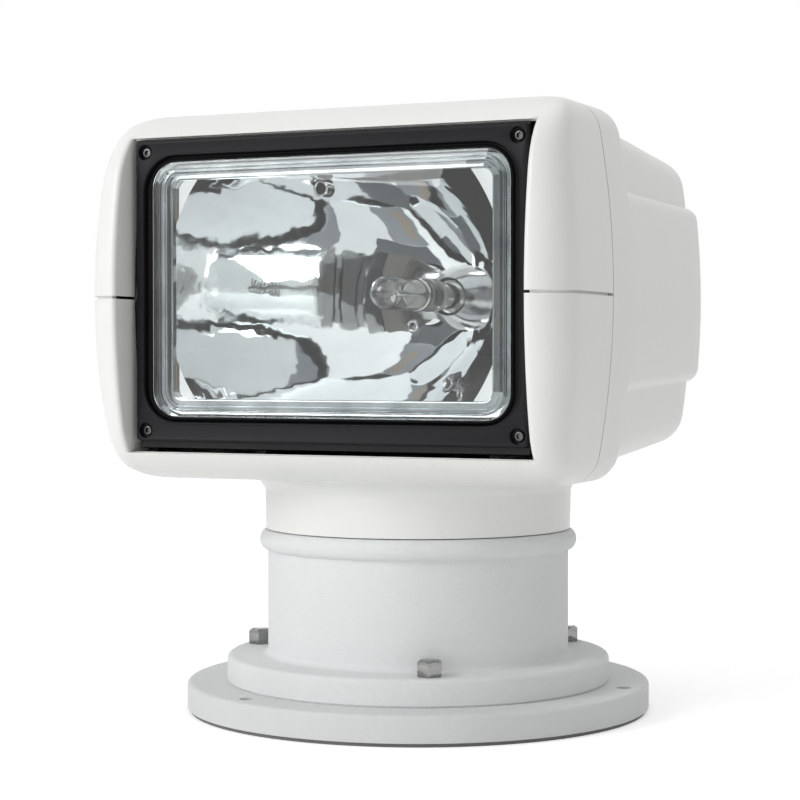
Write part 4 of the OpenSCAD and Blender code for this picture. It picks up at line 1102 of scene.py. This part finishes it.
def spun(name, profile, steps=48, axis=ALONG, centre=(0, 0, LAMP_Z)):
    """A turned piece. Its profile is a list of (radius, place along the axis), drawn from one point."""
    start = Vector(centre)
    along = Vector(axis)
    across = Vector((1, 0, 0))
    spots = [start + across * radius + along * place for radius, place in profile]
    bpy.ops.mesh.primitive_plane_add(size=mm)
    piece = named(bpy.context.object, name)
    open_edit(piece)
    bpy.ops.mesh.select_mode(type="VERT")
    bpy.ops.mesh.select_all(action="SELECT")
    bpy.ops.mesh.merge(type="CENTER")
    bpy.ops.transform.translate(value=spots[0])
    for here, there in zip(spots, spots[1:]):
        bpy.ops.mesh.extrude_vertices_move(TRANSFORM_OT_translate={"value": there - here})
    bpy.ops.mesh.select_all(action="SELECT")
    bpy.ops.mesh.spin(steps=steps, angle=2 * pi, center=centre, axis=axis)
    close_edit()
    face_out(piece, 0.005 * mm)
    return piece


def from_mm(profile, start=0):
    """A profile in mm, in metres and set along the axis from start."""
    return [(radius * mm, start + place * mm) for radius, place in profile]


print("ready to spin")

# %% [markdown]
# The capsule is a real vessel: its section goes down the outside and comes back up the inside, a wall's
# thickness away. Light then bends twice in the quartz, which gives the bright lines along its sides.

# %% Spin the bulb
BULB_R = 9 * mm
BULB_WALL = 1.1 * mm
BULB_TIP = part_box("bulb_glass")[0].y + 12 * mm
FOOT_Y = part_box("bulb_glass")[1].y - 10 * mm
TUBE_Y = FOOT_Y + 23.9 * mm
BACK_Y = VERTEX_Y + 8 * mm


def dome(wall):
    """Half a section of the capsule's end: from its tip to its side, with a wall's thickness taken off."""
    r = BULB_R - wall
    y0 = BULB_TIP + BULB_R
    return [(r * sin(turn), y0 - r * cos(turn)) for turn in even(0, pi / 2, 8)]


outside = dome(0) + [(BULB_R, FOOT_Y)]
inside = [(BULB_R - BULB_WALL, FOOT_Y)] + list(reversed(dome(BULB_WALL)))
capsule = spun("bulb_capsule", outside + inside)
hand_over(capsule, "lamp", "clear_glass", glass, "bulb_glass", crisp=40)

collar_profile = [(0, -1.5), (6.4, -1.5), (6.4, 0.2), (9.2, 0.2), (9.2, 3.2), (7.7, 4), (7.7, 5.4)]
collar_profile += [(8.8, 6.2), (8.8, 11), (8, 11.8), (8, 13.4), (9.2, 14.2), (9.2, 18), (0, 18)]
collar = spun("bulb_collar", from_mm(collar_profile, FOOT_Y))
hand_over(collar, "lamp", "steel", dark_chrome)

ring_profile = [(0, 17.9), (8.6, 17.9), (9.2, 18.4), (9.2, 23.4), (8.6, 24), (0, 24)]
ring = spun("bulb_ring", from_mm(ring_profile, FOOT_Y))
hand_over(ring, "lamp", "brass", ceramic)

foot_profile = from_mm([(0, 0), (7.2, 0), (7.5, 0.5)], TUBE_Y)
foot_profile += from_mm([(7.5, -1), (10.9, 1)], VERTEX_Y)
foot_profile += from_mm([(10.9, 0), (15, 0), (15, 4), (0, 4)], BACK_Y)
foot = spun("bulb_foot", foot_profile)
hand_over(foot, "lamp", "brass", stainless, "bulb_base")

# %% [markdown]
# The filament is a fine coil on two leads. A curve with a bevel could make it, but the grid that bends
# everything else here can be wound as well: its columns go round the wire, and its rows along the coil.

# %% Wind the filament
COIL_R = 1.5 * mm
COIL_START = BULB_TIP + 20 * mm
COIL_LENGTH = 12 * mm
COIL_TURNS = 9
TURN_STEPS = 14
COIL_STEPS = TURN_STEPS * COIL_TURNS
WIRE_R = 0.3 * mm
WIRE_STEPS = 8
LEAD_R = 0.4 * mm
LEAD_X = 2.4 * mm


def coil_spot(column, row):
    """A place on the wire: round it by column, along the coil by row."""
    turn = 2 * pi * row / TURN_STEPS
    way = 2 * pi * (column % WIRE_STEPS) / WIRE_STEPS
    reach = COIL_R + WIRE_R * cos(way)
    y = COIL_START + row / COIL_STEPS * COIL_LENGTH + WIRE_R * sin(way)
    return Vector((reach * cos(turn), y, LAMP_Z + reach * sin(turn)))


coil = bent_sheet("bulb_filament", WIRE_STEPS, COIL_STEPS, coil_spot)
weld(coil, Vector((0, BULB_TIP, LAMP_Z)))
lead_y = (FOOT_Y + COIL_START) / 2
lead_length = FOOT_Y - COIL_START
leads = [round_cutter(LEAD_R, (x, lead_y, LAMP_Z), lead_length, "Y", 10) for x in (-LEAD_X, LEAD_X)]
filament = join([coil] + leads, "bulb_filament")
face_out(filament)
hand_over(filament, "lamp", "steel", steel, crisp=50)

# %% [markdown]
# ## Eyelet and vent in the reflector
# Two small bright rings show inside the lamp: the eyelet of the screw that holds the bulb's cap, and the open
# end of a short vent tube high on the dish. Each is spun from one section round an axis along the lamp. A
# dull black plug in the vent's mouth is painted shade: it stands for the dark depth of the tube.

# %% Spin the eyelet
POST_R = 3.5 * mm
POST_LENGTH = 9 * mm
SHANK_R = 1.5 * mm
SHANK_LENGTH = 22 * mm
screw_low, screw_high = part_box("reflector_screw")
eyelet_x = (screw_low.x + screw_high.x) / 2
eyelet_y = screw_low.y + 1.2 * mm
eyelet_z = (screw_low.z + screw_high.z) / 2
eyelet_profile = [(0, 3), (1.7, 3), (1.8, -0.5), (2.2, -0.95), (2.8, -1.1), (3.4, -0.9), (3.7, -0.3)]
eyelet_profile += [(3.7, 3.6), (0, 3.6)]
eyelet = spun("cap_eyelet", from_mm(eyelet_profile), 36, ALONG, (eyelet_x, eyelet_y, eyelet_z))
shank = round_cutter(SHANK_R, (eyelet_x, eyelet_y + 16 * mm, eyelet_z), SHANK_LENGTH, "Y", 20)
post = round_cutter(POST_R, (eyelet_x, eyelet_y + 8 * mm, eyelet_z), POST_LENGTH, "Y", 32)
eyelet = join([eyelet, shank, post], "cap_eyelet")
hand_over(eyelet, "lamp", "stainless", stainless, "reflector_screw")

# %% Spin the vent and its shade plug
VENT_AT = (-37.3 * mm, -42 * mm, LAMP_Z + 56.2 * mm)
tube_profile = [(2.9, 9), (2.9, 0.6), (3.3, 0), (3.9, 0), (4.3, 0.6), (4.3, 9), (2.9, 9)]
vent = spun("vent_tube", from_mm(tube_profile), 40, ALONG, VENT_AT)
hand_over(vent, "lamp", "stainless", stainless)
# The plug is painted shade: a dull black disc a little way into the tube, where its depth is dark.
shade_plug_profile = [(0, 2.2), (2.4, 2.2), (2.95, 2.6), (2.95, 4), (0, 4)]
shade_plug = spun("vent_shade_plug", from_mm(shade_plug_profile), 40, ALONG, VENT_AT)
hand_over(shade_plug, "lamp", "gloss_black", dull_black)

# %% [markdown]
# ## Nuts and studs
# Three dark plated nuts clamp the pedestal's flange. A nut's flats are plain, but its corners are turned off
# in arcs. So a six-sided block is crossed with a spun blank, as on a lathe. A low recess goes round the end
# of the stud, and a fine bevel softens the edges. The studs are spun, with a chamfer at the top.

# %% Model the nuts
NUT_H = 8.2 * mm
NUT_FLATS = 11.8 * mm
NUT_TURN = radians(20)
STUD_CIRCLE_R = 93 * mm
STUD_TURNS = (28, 140, -84)
HOLE_R = 4 * mm
RECESS_R = 4.6 * mm
RECESS_CUT = 1.2 * mm
nut_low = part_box("pedestal_nuts")[0].z
stud_places = []
for turn in STUD_TURNS:
    way = radians(turn)
    stud_places.append((STUD_CIRCLE_R * sin(way), -STUD_CIRCLE_R * cos(way)))


def nut(x, y):
    """One nut round a stud at x, y."""
    block = round_cutter(NUT_FLATS / sqrt(3), (0, 0, nut_low + NUT_H / 2), NUT_H, "Z", 6)
    block.data.transform(Matrix.Translation((x, y, 0)) @ Matrix.Rotation(NUT_TURN, 4, "Z"))
    top = from_mm([(0, 0), (5.2, 0), (6.9, -1.4)], NUT_H)
    bottom = from_mm([(6.9, 0.5), (6.4, 0), (0, 0)])
    cut(block, spun("blank", top + bottom, 48, UP, (x, y, nut_low)), "INTERSECT")
    cut(block, round_cutter(RECESS_R, (x, y, nut_low + NUT_H), RECESS_CUT, "Z", 40))
    cut(block, round_cutter(HOLE_R, (x, y, nut_low), 4 * NUT_H, "Z", 40))
    edges = radians(25)
    apply_tool(block, "BEVEL", width=0.25 * mm, segments=2, limit_method="ANGLE", angle_limit=edges)
    return block


nuts = join([nut(x, y) for x, y in stud_places], "clamp_nuts")
hand_over(nuts, "base", "stainless", dark_chrome, "pedestal_nuts")

# %% Spin the studs
stud_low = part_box("pedestal_studs")[0].z
stud_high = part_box("pedestal_studs")[1].z
stud_profile = from_mm([(0, 0), (3.1, 0), (3.9, -0.7)], stud_high - stud_low) + from_mm([(3.9, 0), (0, 0)])
studs = [spun("stud", stud_profile, 40, UP, (x, y, stud_low)) for x, y in stud_places]
studs = join(studs, "clamp_studs")
hand_over(studs, "base", "stainless", dark_chrome, "pedestal_studs")

# %% [markdown]
# ## The flare of the neck
# The neck swells softly into the underside of the head. The turntable's own node stays as it is, and a thin
# ring with a hollow section carries that curve from its wall out under the mouldings. The ring also hides the
# gap round the neck's hole.

# %% Spin the flare
FLARE_R = 11.5 * mm
FLARE_IN = NECK_RIM_R - 6.2 * mm
FLARE_WALL = 0.8 * mm
FLARE_FOOT = -FLARE_R - 0.6 * mm
FLARE_TOP = 3 * mm
flare = [(FLARE_IN - FLARE_WALL, FLARE_FOOT), (FLARE_IN, FLARE_FOOT)]
for turn in even(0, pi / 2, 10):
    flare.append((FLARE_IN + FLARE_R * (1 - cos(turn)), FLARE_R * (sin(turn) - 1)))
flare += [(FLARE_IN + FLARE_R, FLARE_TOP), (FLARE_IN - FLARE_WALL, FLARE_TOP), flare[0]]
neck_flare = spun("neck_flare", flare, 128, UP, (0, 0, HEAD_BOTTOM))
hand_over(neck_flare, "head", "shell_white", shell_white)

# %% [markdown]
# ## Last step
# Nothing is left selected. The dressed light must not outgrow the frame.

# %% Deselect everything
deselect()
